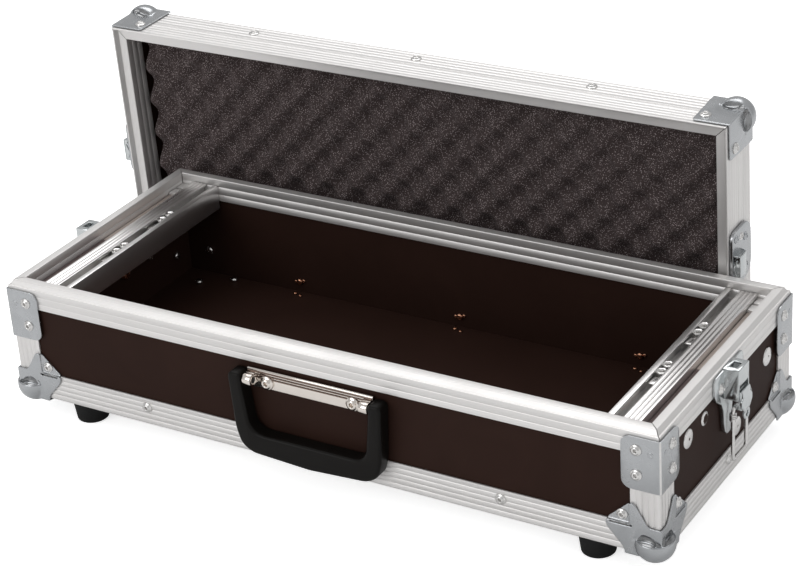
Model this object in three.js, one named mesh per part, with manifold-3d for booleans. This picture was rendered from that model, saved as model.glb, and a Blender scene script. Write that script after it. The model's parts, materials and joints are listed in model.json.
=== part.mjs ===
// Rack tray case for a lighting desk. An open plywood tray with aluminium edging carries two rack rails,
// a drop handle and two draw latches. Its lift-off lid stands on a long side behind it, lining forward.
// Millimetres: +X right, +Y back, +Z up. The origin is the centre of the tray floor's underside.
import * as THREE from "three";
import { mergeVertices } from "three/addons/utils/BufferGeometryUtils.js";
import Module from "manifold-3d";

const wasm = await Module();
wasm.setup();

// Case, measured over the edging
const caseLength = 540;
const caseDepth = 225;
const shoulderRise = 93.5; // edging underside to the rim's shoulder
const panelThick = 6.5;
const edgeWall = 1.5; // every aluminium section
const seat = 0.3; // gap between pieces that lie face to face
const overrun = 3; // how far a cutting body passes the faces that it cuts

// Edging
const angleLeg = 22;
const grooveWidth = 1.4;
const grooveDepth = 0.5;
const legGrooveShares = [0.22, 0.42, 0.62, 0.82];
const angleTrim = angleLeg + seat; // the ball corners cover this much of each end
const panelChamfer = 6; // plywood cut away inside the ball corners
const floorCells = 3; // the floor panel's faces are drawn as cells, so its middle is clear of the edging

// Rim: the tray's raised tongue fits the recess in the lid's rim
const trayFlange = 16.4;
const lidFlange = 20;
const innerFlange = 19.5;
const tongueRise = 3.8;
const lipWidth = 1.2;
const slopeRun = 2; // how far in the tongue's slanted face leans
const tongueClear = 0.3;
const trayGrooveShares = [0.34, 0.7];
const lidGrooveShares = [0.2, 0.4, 0.6, 0.8];
const innerGrooveShares = [0.35, 0.7];
const mitreGap = 0.15;

// Lid, standing behind the tray
const lidSeam = 0.4; // between the lid's rim and its edge angle
const lidShift = -48.7;
const lidNestle = 0.2; // lip plane at the middle of the lid, in front of the tray's back face
const lidLeanDeg = 1.96;
const lidYawDeg = 0.12;
const lidFloorGap = 0.1;

// Rivets and fixings
const rivetRadius = 4.2;
const rivetRise = 1.7;
const rivetRoot = 0.8; // how deep a head reaches into the plate that it is fused to
const edgeRivetSpacing = 150;
const edgeRivetRise = 14.8;
const lidRivetShare = 0.55; // along the angle's leg
const boltRadius = 7;
const boltRise = 1.5;
const boltShares = [[-0.287, 0.69], [0.325, 0.62], [0.076, 0.326]]; // of the depth and the shoulder
const studRadius = 5.2;
const studShares = [-0.166, 0.7];

// Flat corner brackets
const bracketWall = 1.2;
const bracketReach = 27.5;
const bracketFoot = 50.6;
const bracketTop = 91;
const bracketRound = 7;
const bracketRivetIn = 16.4;
const bracketRivetMargin = 11;

// Ball corners
const ballRadius = 14.3;
const ballWall = 1.2;
const ballInset = 7.3; // ball centre to each outer face
const ballMouth = 11; // height of the cup's lip over the outer face below it
const ballPlate = 1.3;
const earReach = 40;
const earOutlineShares = [
  [0, 0], [0.65, 0], [0.665, 0.08], [0.96, 0.4], [1, 0.49], [0.985, 0.575],
  [0.575, 0.95], [0.5, 0.975], [0.44, 0.94], [0.23, 0.6], [0.19, 0.575], [0, 0.565],
];
const earRivet = 28;
const lidPlateReach = 27.5;
const lidPlateFlare = 1.5;
const lidPlateMargin = 2.2; // plate edge to the lid's lip plane
const lidRivetIn = 21;
const lidRivetDown = 30.8;

// Feet
const footTop = 14.3;
const footBottom = 12.3;
const footHeight = 16.4;
const footEndIn = 53.5; // foot centre to the end of the case
const footSideIn = 15; // foot centre to its long side
const footRound = 1.2;
const footDish = 0.8;
const footDishRadius = 7.5;

// Rack rails: u runs outwards from the inner face, v down from the top
const railTop = 91.5; // over the edging underside
const railWall = 2;
const railDrop = 20;
const slotLip = 4.5;
const slotWidth = 6.9;
const channelSide = 2.3; // how far the nut channel runs under the ribbed flange
const channelDeep = 9;
const ribbedFlange = 13.2;
const railLeg = 18;
const railGrooveShares = [0.25, 0.5, 0.75];
const railEndCut = 6;
const railEndClear = 0.3;
const packerTop = 86;
const packerTall = 18;
const packerThick = 10.5;
const packerBackMargin = 20;

// Handle
const handleReach = 52.4; // half width of the plate
const handleFoot = 58;
const handleTop = 73;
const handlePlateThick = 3.6;
const handleRoll = 1.7;
const handleAxisOut = 7.8; // from the panel's face
const handleAxisUp = 66;
const knuckleRadius = 4.6;
const knuckleBore = 2.6;
const knuckleLength = 7.5;
const handleRivetX = 36;
const handleRivetUp = 65.5;
const pinClear = 0.35;
const gripSideGap = 0.8;
const gripThick = 11.4;
const gripArmTop = 11;
const gripTall = 67.5; // lowest point of the grip to the arm tops
const gripBar = 19.5;
const gripBevel = 3.2;
const gripWaistShare = 0.955;
const gripCornerShare = 0.87;
const gripInnerRound = 8;
const gripCrown = 3;

// Latches, on the centre line of each end, a little forward of the middle
const latchY = -3;
const latchWall = 1.4;
const latchPlateTop = 92;
const latchPlateDrop = 53;
const latchHalf = 24.5;
const pearShares = [
  [0, 0.0], [0.9, 0.0], [1, 0.05], [1, 0.24], [0.86, 0.36], [0.52, 0.47], [0.38, 0.6],
  [0.34, 0.8], [0.26, 0.94], [0.12, 1],
];
const hoodWidth = 17.5;
const hoodOut = 11.2; // hood's outer face over the plate
const hoodWall = 1.3;
const hoodTop = 93.3;
const hoodFoot = 80.8;
const cheekFoot = 69.6;
const hoodHoleWide = 8;
const hoodHoleDeep = 5.6;
const pinOut = 9.5; // pin centre from the edging face
const pinUp = 74;
const pinRadius = 1.5;
const pinHead = 2.4;
const pinHeadLong = 1;
const runClear = 0.35;
const leverWidth = 14;
const wingWidth = 17.5;
const leverOut = 3.8; // lever plate's inner face from the pin centre
const leverThick = 2.4;
const leverTop = 78;
const wingTop = 69.4;
const leverFoot = 60.5;
const leverCheek = 1.3;
const leverCheekBack = 3; // cheek behind the pin centre
const bailUp = 65;
const bailDrop = 41;
const bailHalf = 11.5;
const bailWire = 1.4;
const bailBend = 3.2;
const bailTail = 0.6; // wire end past the lever's cheek
const ringRadius = 3.6;
const ringWire = 1.1;
const ringDrop = 6.6; // ring centre under the lever's foot
const latchRivetY = 10;
const latchRivetUp = 80;

// Keepers on the lid: heights are taken from the lip plane
const keeperFoot = 1.8;
const keeperTall = 40;
const keeperHalf = 23;
const keeperHoodOut = 7;
const keeperHoodFoot = 16;
const keeperHoodTop = 29;
const clawFoot = 7.5;
const clawTop = 14.5;
const clawWall = 2.2;
const clawWidth = 13;
const keeperRivetUp = 17.5;
const keeperRivetY = 12.5;

// Foam lining
const foamPitch = 29.4; // along a row of bumps; the next row sits half a pitch over
const foamEndGap = 6.4;
const foamSideGap = 3;
const foamPeak = 15; // lip plane to the tops of the bumps
const foamValley = 27;

// Derived sizes
const halfLength = caseLength / 2;
const halfDepth = caseDepth / 2;
const skin = edgeWall + seat; // edging face to plywood face
const base = -skin; // edging underside
const rimWidth = skin + panelThick + skin;
const rimShoulder = base + shoulderRise;
const trayPanelTop = rimShoulder - skin;
const lidRise = lidFlange + lidSeam + angleLeg;
const lidRecess = tongueRise + tongueClear;
const panelFaceY = -halfDepth + skin;
const floorZ = base - seat - footHeight;
const railOuter = slotLip + slotWidth + ribbedFlange;
const packerOut = halfLength - rimWidth - seat;
const packerIn = packerOut - packerThick;
const railInner = packerIn - seat - railOuter;
const sides = ["front", "right", "back", "left"];
const corners = [
  { name: "front_left", x: -1, y: -1 },
  { name: "front_right", x: 1, y: -1 },
  { name: "back_right", x: 1, y: 1 },
  { name: "back_left", x: -1, y: 1 },
];
const quarter = Math.PI / 2;

const finishes = {
  aluminium: { color: 0xc8c5c2, roughness: 0.35, metalness: 0.9 },
  plywood: { color: 0x241a17, roughness: 0.5, metalness: 0 },
  zinc: { color: 0x9ea3a8, roughness: 0.4, metalness: 0.85 },
  nickel: { color: 0xd2cbc4, roughness: 0.15, metalness: 1 },
  rubber: { color: 0x141416, roughness: 0.85, metalness: 0 },
  grip: { color: 0x1b1a1b, roughness: 0.45, metalness: 0 },
  packing: { color: 0x6f625b, roughness: 0.7, metalness: 0 },
  foam: { color: 0x4a4245, roughness: 1, metalness: 0 },
};

const root = new THREE.Group();

// Solids

function solid(geometry) {
  const bare = geometry.clone();
  for (const name of Object.keys(bare.attributes)) {
    if (name !== "position") bare.deleteAttribute(name);
  }
  const merged = mergeVertices(bare, 1e-4);
  const vertProperties = new Float32Array(merged.attributes.position.array);
  const triVerts = new Uint32Array(merged.index.array);
  const made = new wasm.Manifold(new wasm.Mesh({ numProp: 3, vertProperties, triVerts }));
  if (made.volume() >= 0) return made;
  for (let i = 0; i < triVerts.length; i += 3) {
    [triVerts[i + 1], triVerts[i + 2]] = [triVerts[i + 2], triVerts[i + 1]];
  }
  return new wasm.Manifold(new wasm.Mesh({ numProp: 3, vertProperties, triVerts }));
}

function geometryOf(body) {
  const mesh = body.getMesh();
  const points = new Float32Array(mesh.numVert * 3);
  for (let i = 0; i < mesh.numVert; i += 1) {
    points.set(mesh.vertProperties.subarray(i * mesh.numProp, i * mesh.numProp + 3), i * 3);
  }
  const made = new THREE.BufferGeometry();
  made.setAttribute("position", new THREE.BufferAttribute(points, 3));
  made.setIndex(new THREE.BufferAttribute(new Uint32Array(mesh.triVerts), 1));
  const flat = made.toNonIndexed();
  flat.computeVertexNormals();
  return flat;
}

function join(bodies) {
  return bodies.reduce((whole, body) => whole.add(body));
}

function cut(body, cutters) {
  return cutters.reduce((left, cutter) => left.subtract(cutter), body);
}

// A block from its lowest to its highest corner.
function block(low, high) {
  const size = high.map((value, axis) => value - low[axis]);
  const made = new THREE.BoxGeometry(...size);
  made.translate(...low.map((value, axis) => value + size[axis] / 2));
  return solid(made);
}

// An outline drawn along two axes and given a thickness along their third.
function slab(outline, thickness, across, up, origin) {
  const shape = new THREE.Shape(outline.map(([x, y]) => new THREE.Vector2(x, y)));
  const made = new THREE.ExtrudeGeometry(shape, { depth: thickness, bevelEnabled: false });
  const out = across.clone().cross(up);
  const place = new THREE.Matrix4().makeBasis(across, up, out).setPosition(origin);
  return solid(made.applyMatrix4(place));
}

// A turned body: rings of [radius, height] from one end to the other, along a direction.
function turned(rings, sidesRound, origin, direction) {
  const points = rings.map(([radius, height]) => new THREE.Vector2(radius, height));
  const made = new THREE.LatheGeometry(points, sidesRound);
  const turn = new THREE.Quaternion().setFromUnitVectors(axisY, direction);
  return solid(made.applyQuaternion(turn).translate(origin.x, origin.y, origin.z));
}

const axisX = new THREE.Vector3(1, 0, 0);
const axisY = new THREE.Vector3(0, 1, 0);
const axisZ = new THREE.Vector3(0, 0, 1);
const rivetSides = 8;
const domeShares = [[1, 0.3], [0.62, 0.9]];

function head(radius, rise, origin, direction, sidesRound = rivetSides) {
  const dome = domeShares.map(([wide, high]) => [radius * wide, rise * high]);
  const rings = [[0, -rivetRoot], [radius, -rivetRoot], ...dome, [0, rise]];
  return turned(rings, sidesRound, origin, direction);
}

function rod(radius, from, to, sidesRound) {
  const along = to.clone().sub(from);
  const length = along.length();
  const rings = [[0, 0], [radius, 0], [radius, length], [0, length]];
  return turned(rings, sidesRound, from, along.normalize());
}

// A wire through listed points.
class Wire extends THREE.Curve {
  constructor(points) {
    super();
    this.points = points;
  }

  getPoint(share, target = new THREE.Vector3()) {
    const place = share * (this.points.length - 1);
    const i = Math.min(Math.floor(place), this.points.length - 2);
    return target.lerpVectors(this.points[i], this.points[i + 1], place - i);
  }

  getPointAt(share, target) {
    return this.getPoint(share, target);
  }

  getTangentAt(share, target = new THREE.Vector3()) {
    const i = Math.round(share * (this.points.length - 1));
    const before = this.points[Math.max(i - 1, 0)];
    const after = this.points[Math.min(i + 1, this.points.length - 1)];
    return target.subVectors(after, before).normalize();
  }
}

function wire(points, radius, sidesRound) {
  const section = new THREE.Shape();
  for (let i = 0; i < sidesRound; i += 1) {
    const turn = (i / sidesRound) * 4 * quarter;
    const [x, y] = [radius * Math.cos(turn), radius * Math.sin(turn)];
    if (i) section.lineTo(x, y);
    else section.moveTo(x, y);
  }
  const settings = { steps: points.length - 1, extrudePath: new Wire(points), bevelEnabled: false };
  return solid(new THREE.ExtrudeGeometry(section, settings));
}

// Points of a bend from one leg to the next, as a quarter of a circle.
function bend(corner, from, to, radius, steps) {
  const points = [];
  for (let i = 0; i <= steps; i += 1) {
    const turn = (i / steps) * quarter;
    points.push(
      corner.clone()
        .addScaledVector(from, radius * (1 - Math.sin(turn)))
        .addScaledVector(to, radius * (1 - Math.cos(turn))),
    );
  }
  return points;
}

function addShape(parent, name, finish, geometry) {
  const mesh = new THREE.Mesh(geometry, new THREE.MeshStandardMaterial(finishes[finish]));
  mesh.name = name;
  parent.add(mesh);
}

function add(parent, name, finish, body) {
  addShape(parent, name, finish, geometryOf(body));
}

// Sections are lists of [a, b]: a runs in from the case's outer face, b up.

function grooves(length, shares, at) {
  return shares.flatMap((share) => {
    const middle = length * share;
    return [
      at(middle - grooveWidth / 2, 0),
      at(middle, grooveDepth),
      at(middle + grooveWidth / 2, 0),
    ];
  });
}

function angleSection() {
  return [
    [angleLeg, 0],
    [angleLeg, edgeWall],
    [edgeWall, edgeWall],
    [edgeWall, angleLeg],
    [0, angleLeg],
    ...grooves(angleLeg, legGrooveShares, (t, d) => [d, t]).reverse(),
    [0, 0],
    ...grooves(angleLeg, legGrooveShares, (t, d) => [t, d]),
  ];
}

// The tray's rim: heights are from its shoulder.
function trayRimSection() {
  const slopeFoot = lipWidth + tongueClear;
  const slopeHead = slopeFoot + slopeRun;
  const flatTop = tongueRise - edgeWall;
  return [
    [0, 0],
    ...grooves(trayFlange, trayGrooveShares, (t, d) => [d, -t]),
    [0, -trayFlange],
    [edgeWall, -trayFlange],
    [edgeWall, -edgeWall],
    [slopeFoot + edgeWall / 2, -edgeWall / 2],
    [slopeHead + edgeWall / 2, flatTop],
    [rimWidth - edgeWall, flatTop],
    [rimWidth - edgeWall, tongueRise - innerFlange],
    [rimWidth, tongueRise - innerFlange],
    ...grooves(innerFlange, innerGrooveShares, (t, d) => [rimWidth - d, tongueRise - t]).reverse(),
    [rimWidth, tongueRise],
    [slopeHead, tongueRise],
    [slopeFoot, 0],
  ];
}

// The lid's rim: heights are from the lip plane, up into the lid as it lies closed.
function lidRimSection() {
  const slopeHead = lipWidth + slopeRun;
  const innerTop = lidRecess + innerFlange;
  return [
    [0, 0],
    [lipWidth, 0],
    [slopeHead, lidRecess],
    [rimWidth, lidRecess],
    ...grooves(innerFlange, innerGrooveShares, (t, d) => [rimWidth - d, lidRecess + t]),
    [rimWidth, innerTop],
    [rimWidth - edgeWall, innerTop],
    [rimWidth - edgeWall, lidRecess + edgeWall],
    [slopeHead, lidRecess + edgeWall],
    [edgeWall, lidRecess],
    [edgeWall, lidFlange],
    [0, lidFlange],
    ...grooves(lidFlange, lidGrooveShares, (t, d) => [d, t]).reverse(),
  ];
}

// A bar along one side of the case. slant is 1 for mitred ends and 0 for square ones.
function sideBar(section, side, trim, slant) {
  const along = side % 2 ? halfDepth : halfLength;
  const away = side % 2 ? halfLength : halfDepth;
  const points = [];
  for (const end of [-1, 1]) {
    for (const [a, b] of section) points.push(end * (along - trim - slant * a), a - away, b);
  }
  const flat = section.map(([a, b]) => new THREE.Vector2(a, b));
  const caps = THREE.ShapeUtils.triangulateShape(flat, []);
  const n = section.length;
  const faces = [];
  for (const [i, j, k] of caps) faces.push(i, k, j, n + i, n + j, n + k);
  for (let i = 0; i < n; i += 1) {
    const next = (i + 1) % n;
    faces.push(i, next, n + i, next, n + next, n + i);
  }
  const made = new THREE.BufferGeometry();
  made.setAttribute("position", new THREE.Float32BufferAttribute(points, 3));
  made.setIndex(faces);
  return solid(made);
}

// A group in which a bar built for the front lies along the wanted side.
function sideGroup(parent, side) {
  const group = new THREE.Group();
  group.rotation.z = side * quarter;
  parent.add(group);
  return group;
}

// A group in which u, v and w run into the case from a corner.
function cornerGroup(parent, corner, height, up) {
  const group = new THREE.Group();
  group.position.set(corner.x * halfLength, corner.y * halfDepth, height);
  group.scale.set(-corner.x, -corner.y, up);
  parent.add(group);
  return group;
}

// Tray

function addTrayPanels(tray) {
  const x = halfLength - skin;
  const y = halfDepth - skin;
  const face = [
    [-x + panelChamfer, 0], [x - panelChamfer, 0], [x, panelChamfer],
    [x, trayPanelTop], [-x, trayPanelTop], [-x, panelChamfer],
  ];
  const inner = y - panelThick - seat;
  const front = slab(face, panelThick, axisX, axisZ, new THREE.Vector3(0, -inner - seat, 0));
  const back = slab(face, panelThick, axisX, axisZ, new THREE.Vector3(0, y, 0));
  add(tray, "front_panel", "plywood", front);
  add(tray, "back_panel", "plywood", back);
  for (const [name, side] of [["left_panel", -1], ["right_panel", 1]]) {
    const end = new THREE.Group();
    end.scale.x = side;
    tray.add(end);
    const panel = block([x - panelThick, -inner, 0], [x, inner, trayPanelTop]);
    const fixing = (radius, [across, up]) =>
      head(radius, boltRise, new THREE.Vector3(x, across * caseDepth, up * shoulderRise), axisX);
    const bolts = boltShares.map((place) => fixing(boltRadius, place));
    const stud = fixing(studRadius, studShares);
    add(end, name, "plywood", join([panel, ...bolts, stud]));
  }
  const floorX = x - panelThick - seat;
  const cells = [floorCells, floorCells, 1];
  const floor = new THREE.BoxGeometry(2 * floorX, 2 * inner, panelThick, ...cells);
  addShape(tray, "bottom_panel", "plywood", floor.translate(0, 0, panelThick / 2));
}

// The tray's front has no middle rivet: the grip hangs against it.
function edgeRivets(side, height, middle) {
  const away = side % 2 ? halfLength : halfDepth;
  const outer = side % 2 ? [] : [-edgeRivetSpacing, edgeRivetSpacing];
  return [...outer, ...(middle ? [0] : [])].map((x) =>
    head(rivetRadius, rivetRise, new THREE.Vector3(x, -away, height), axisY.clone().negate()));
}

function addTrayEdging(tray) {
  const bottom = new THREE.Group();
  bottom.position.z = base;
  tray.add(bottom);
  const rim = new THREE.Group();
  rim.position.z = rimShoulder;
  tray.add(rim);
  sides.forEach((name, side) => {
    const bar = sideBar(angleSection(), side, angleTrim, 0);
    const edge = join([bar, ...edgeRivets(side, edgeRivetRise, side > 0)]);
    add(sideGroup(bottom, side), "bottom_edge_" + name, "aluminium", edge);
    const top = sideBar(trayRimSection(), side, mitreGap, 1);
    add(sideGroup(rim, side), "rim_" + name, "aluminium", top);
  });
  const upright = shoulderRise - trayFlange - seat - angleTrim;
  const post = slab(angleSection(), upright, axisX, axisY, new THREE.Vector3(0, 0, angleTrim));
  for (const corner of corners) {
    add(cornerGroup(tray, corner, base, 1), "corner_edge_" + corner.name, "aluminium", post);
  }
}

// Rounded on its far side, where the bracket lies over the panel.
function bracketFace() {
  const points = [[-seat - bracketWall, bracketFoot]];
  const arc = 4;
  for (const [height, side] of [[bracketFoot, 1], [bracketTop, -1]]) {
    const turns = [...Array(arc + 1).keys()].map((i) => (i / arc) * quarter);
    const run = turns.map((turn) => [
      bracketReach - bracketRound + bracketRound * Math.sin(turn),
      height + side * bracketRound * (1 - Math.cos(turn)),
    ]);
    points.push(...(side > 0 ? run : run.reverse()));
  }
  points.push([-seat - bracketWall, bracketTop]);
  return points;
}

function cornerBracket() {
  const out = -seat - bracketWall;
  const front = slab(bracketFace(), bracketWall, axisX, axisZ, new THREE.Vector3(0, -seat, 0));
  const side = slab(bracketFace(), bracketWall, axisY, axisZ, new THREE.Vector3(out, 0, 0));
  const rivets = [bracketFoot + bracketRivetMargin, bracketTop - bracketRivetMargin].flatMap((w) => [
    head(rivetRadius, rivetRise, new THREE.Vector3(bracketRivetIn, out, w), axisY.clone().negate()),
    head(rivetRadius, rivetRise, new THREE.Vector3(out, bracketRivetIn, w), axisX.clone().negate()),
  ]);
  return join([front, side, ...rivets]);
}

// The hollow ball round a trimmed corner. It is cut off level, and the upright edge of the plates runs
// down into it, so a gap shows between them. The tip is what the plates have outside the ball.
function ballCup() {
  const far = 2 * (ballInset + ballRadius);
  const centre = new THREE.Vector3(ballInset, ballInset, ballInset);
  const ball = (radius, across, down) => {
    const made = new THREE.SphereGeometry(radius, across, down);
    return solid(made.translate(centre.x, centre.y, centre.z));
  };
  const outer = ball(ballRadius, 12, 8);
  const inner = ball(ballRadius - ballWall, 8, 6);
  const out = -seat - ballPlate;
  const kept = edgeWall;
  const cutters = [
    inner,
    block([kept, kept, kept], [far, far, far]),
    block([angleTrim - seat, -seat, -seat], [far, far, far]),
    block([-seat, angleTrim - seat, -seat], [far, far, far]),
    block([-seat, -seat, angleTrim - seat], [far, far, far]),
    block([-far, -far, ballMouth], [far, out, far]),
    block([-far, -far, ballMouth], [out, far, far]),
  ];
  const tip = block([-far, -far, -far], [ballInset, ballInset, ballInset]).subtract(outer);
  return { cup: cut(outer, cutters), tip };
}

// One plate on each of the three faces, stepped down on to the plywood past the edging.
function earPlates(outline, step) {
  const out = -seat - ballPlate;
  const sunk = skin - seat - ballPlate;
  const lift = angleLeg + seat;
  const corner = lift - ballPlate;
  const far = earReach + overrun;
  return [
    [axisX, axisZ, 1, (d) => [0, -d, 0]],
    [axisY, axisZ, 0, (d) => [d, 0, 0]],
    [axisX, axisY, 2, (d) => [0, 0, d]],
  ].map(([across, up, normal, place]) => {
    const flip = normal === 1;
    const origin = (low, thick) => new THREE.Vector3(...place(flip ? -(low + thick) : low));
    const top = slab(outline, ballPlate, across, up, origin(out, ballPlate));
    if (!step) return top;
    const deep = slab(outline, sunk + ballPlate - out, across, up, origin(out, sunk + ballPlate - out));
    const box = (inset, low, high) => {
      const from = [inset, inset, inset];
      const to = [far, far, far];
      from[normal] = low;
      to[normal] = high;
      return block(from, to);
    };
    const ear = deep.intersect(box(lift, out, sunk + ballPlate));
    const hollow = box(corner + 2 * ballPlate, out - overrun, sunk);
    return cut(top.add(ear), [hollow]);
  });
}

function trayBallCorner() {
  const outline = earOutlineShares.map(([u, v]) => [u * earReach, v * earReach]);
  const edge = -seat - ballPlate;
  const wrapped = outline.map(([u, v]) => [u || edge, v || edge]);
  const { cup, tip } = ballCup();
  const plates = join(earPlates(wrapped, true));
  const sunkFace = skin - seat - ballPlate;
  const rivets = [
    head(rivetRadius, rivetRise, new THREE.Vector3(earRivet, sunkFace, earRivet), axisY.clone().negate()),
    head(rivetRadius, rivetRise, new THREE.Vector3(sunkFace, earRivet, earRivet), axisX.clone().negate()),
    head(rivetRadius, rivetRise, new THREE.Vector3(earRivet, earRivet, sunkFace), axisZ.clone().negate()),
  ];
  return join([cut(plates, [tip]), cup, ...rivets]);
}

function lidBallCorner() {
  const edge = -seat - ballPlate;
  const tall = lidRise - lidPlateMargin;
  const wide = lidPlateReach + lidPlateFlare;
  const sideFace = [[edge, edge], [wide, edge], [lidPlateReach, tall], [edge, tall]];
  const coverFace = [[edge, edge], [wide, edge], [edge, wide]];
  const { cup, tip } = ballCup();
  const plates = [
    slab(sideFace, ballPlate, axisX, axisZ, new THREE.Vector3(0, -seat, 0)),
    slab(sideFace, ballPlate, axisY, axisZ, new THREE.Vector3(edge, 0, 0)),
    slab(coverFace, ballPlate, axisX, axisY, new THREE.Vector3(0, 0, edge)),
  ];
  const rivets = [
    head(rivetRadius, rivetRise, new THREE.Vector3(lidRivetIn, edge, lidRivetDown), axisY.clone().negate()),
    head(rivetRadius, rivetRise, new THREE.Vector3(edge, lidRivetIn, lidRivetDown), axisX.clone().negate()),
  ];
  return join([cut(join(plates), [tip]), cup, ...rivets]);
}

function addTrayCorners(tray) {
  const bracket = cornerBracket();
  const ball = trayBallCorner();
  for (const corner of corners) {
    const group = cornerGroup(tray, corner, base, 1);
    add(group, "corner_bracket_" + corner.name, "zinc", bracket);
    add(group, "ball_corner_" + corner.name, "zinc", ball);
  }
}

function addFeet(tray) {
  const rings = [
    [0, footDish],
    [footDishRadius, footDish],
    [footDishRadius, 0],
    [footBottom - footRound, 0],
    [footBottom, footRound],
    [footTop, footHeight],
    [0, footHeight],
  ];
  const sidesRound = 24;
  for (const corner of corners) {
    const [x, y] = [corner.x * (halfLength - footEndIn), corner.y * (halfDepth - footSideIn)];
    const place = new THREE.Vector3(x, y, floorZ);
    add(tray, "foot_" + corner.name, "rubber", turned(rings, sidesRound, place, axisZ));
  }
}

// Rack rails

function railSection() {
  const flangeIn = slotLip + slotWidth;
  const flangeOut = flangeIn + ribbedFlange;
  const channelOut = flangeIn + channelSide;
  const channelFloor = channelDeep + railWall;
  return [
    [0, 0],
    [0, -railDrop],
    [railWall, -railDrop],
    [railWall, -channelFloor],
    [channelOut + railWall, -channelFloor],
    [channelOut + railWall, -railWall],
    [flangeOut - railWall, -railWall],
    [flangeOut - railWall, -railLeg],
    [flangeOut, -railLeg],
    [flangeOut, 0],
    ...grooves(ribbedFlange, railGrooveShares, (t, d) => [flangeIn + t, -d]).reverse(),
    [flangeIn, 0],
    [flangeIn, -railWall],
    [channelOut, -railWall],
    [channelOut, -channelDeep],
    [railWall, -channelDeep],
    [railWall, -railWall],
    [slotLip, -railWall],
    [slotLip, 0],
  ];
}

function railSolid() {
  const reach = halfDepth - rimWidth - railEndClear;
  const along = axisY.clone().negate();
  const up = axisZ;
  const bar = slab(railSection(), 2 * reach, axisX, up, new THREE.Vector3(0, reach, 0));
  const low = -railDrop;
  const wedge = [
    [-reach - overrun, low - overrun],
    [-reach + railEndCut + overrun, low - overrun],
    [-reach - overrun, low + railEndCut + overrun],
  ];
  const clip = slab(wedge, railWall + 2 * overrun, along, up, new THREE.Vector3(-overrun, 0, 0));
  return cut(bar, [clip, clip.mirror([0, 1, 0])]);
}

function addRails(tray) {
  const rail = railSolid();
  const reach = halfDepth - rimWidth - railEndClear;
  const top = base + packerTop;
  const packer = block(
    [packerIn, -reach, top - packerTall],
    [packerOut, reach - packerBackMargin, top],
  );
  for (const [name, side] of [["left", -1], ["right", 1]]) {
    const end = new THREE.Group();
    end.scale.x = side;
    tray.add(end);
    const seated = new THREE.Group();
    seated.position.set(railInner, 0, base + railTop);
    end.add(seated);
    add(seated, "rack_rail_" + name, "aluminium", rail);
    add(end, "rail_packer_" + name, "packing", packer);
  }
}

// Handle

function addHandlePlate(tray) {
  const back = panelFaceY - seat;
  const front = back - handlePlateThick;
  const low = base + handleFoot;
  const high = base + handleTop;
  const axisAt = new THREE.Vector3(0, panelFaceY - handleAxisOut, base + handleAxisUp);
  const inner = handleReach - knuckleLength;
  const plate = block([-handleReach, front, low], [handleReach, back, high - handleRoll]);
  const roll = rod(
    handleRoll,
    new THREE.Vector3(-handleReach, back - handleRoll, high - handleRoll),
    new THREE.Vector3(handleReach, back - handleRoll, high - handleRoll),
    10,
  );
  const at = (x) => axisAt.clone().setX(x);
  const knuckles = [-1, 1].map((side) =>
    rod(knuckleRadius, at(side * inner), at(side * handleReach), 16));
  const bores = [-1, 1].map((side) =>
    rod(knuckleBore, at(side * (inner - overrun)), at(side * (handleReach + overrun)), 16));
  const rivets = [-1, 1].map((side) => head(
    rivetRadius,
    rivetRise,
    new THREE.Vector3(side * handleRivetX, front, base + handleRivetUp),
    axisY.clone().negate(),
    14,
  ));
  add(tray, "handle_plate", "nickel", cut(join([plate, roll, ...knuckles, ...rivets]), bores));
}

// The grip's outline, seen from the front, with heights from the pin.
function gripOutline() {
  const innerTop = handleReach + gripSideGap;
  const outerTop = innerTop + gripArmTop;
  const crest = gripThick / 2;
  const foot = crest - gripTall;
  const waist = outerTop * gripWaistShare;
  const corner = outerTop * gripCornerShare;
  const barTop = foot + gripBar;
  const half = [
    [0, foot],
    [corner - gripInnerRound, foot + gripCrown],
    [corner, foot + gripCrown + gripInnerRound / 2],
    [waist, barTop],
    [outerTop, 0],
    [outerTop - gripArmTop / 4, crest],
    [innerTop, crest],
    [innerTop, 0],
    [innerTop - gripInnerRound / 2, barTop + gripInnerRound],
    [innerTop - gripInnerRound, barTop + gripInnerRound / 4],
    [innerTop - 2 * gripInnerRound, barTop],
  ];
  const other = half.slice(1).reverse().map(([x, z]) => [-x, z]);
  return [...half, ...other];
}

function addGrip(parent) {
  const shape = new THREE.Shape(gripOutline().map(([x, z]) => new THREE.Vector2(x, z)));
  const depth = gripThick - 2 * gripBevel;
  const made = new THREE.ExtrudeGeometry(shape, {
    depth,
    bevelThickness: gripBevel,
    bevelSize: gripBevel,
    bevelOffset: -gripBevel,
    bevelSegments: 2,
  });
  made.translate(0, 0, -depth / 2).rotateX(quarter);
  const body = solid(made);
  const innerTop = handleReach + gripSideGap;
  const pinRound = knuckleBore - pinClear;
  const pins = [-1, 1].map((side) => rod(
    pinRound,
    new THREE.Vector3(side * (handleReach - knuckleLength), 0, 0),
    new THREE.Vector3(side * (innerTop + gripArmTop / 2), 0, 0),
    12,
  ));
  const hung = new THREE.Group();
  hung.position.set(0, panelFaceY - handleAxisOut, base + handleAxisUp);
  parent.add(hung);
  add(hung, "handle_grip", "grip", join([body, ...pins]));
}

// Latches, drawn for the right end: x runs out from the edging face, y across, z up

function pearOutline(half, tall, up) {
  const right = pearShares.map(([wide, down]) => [half * wide, up * tall * down]);
  const left = right.slice(1).reverse().map(([wide, down]) => [-wide, down]);
  return [...right, ...left];
}

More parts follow.
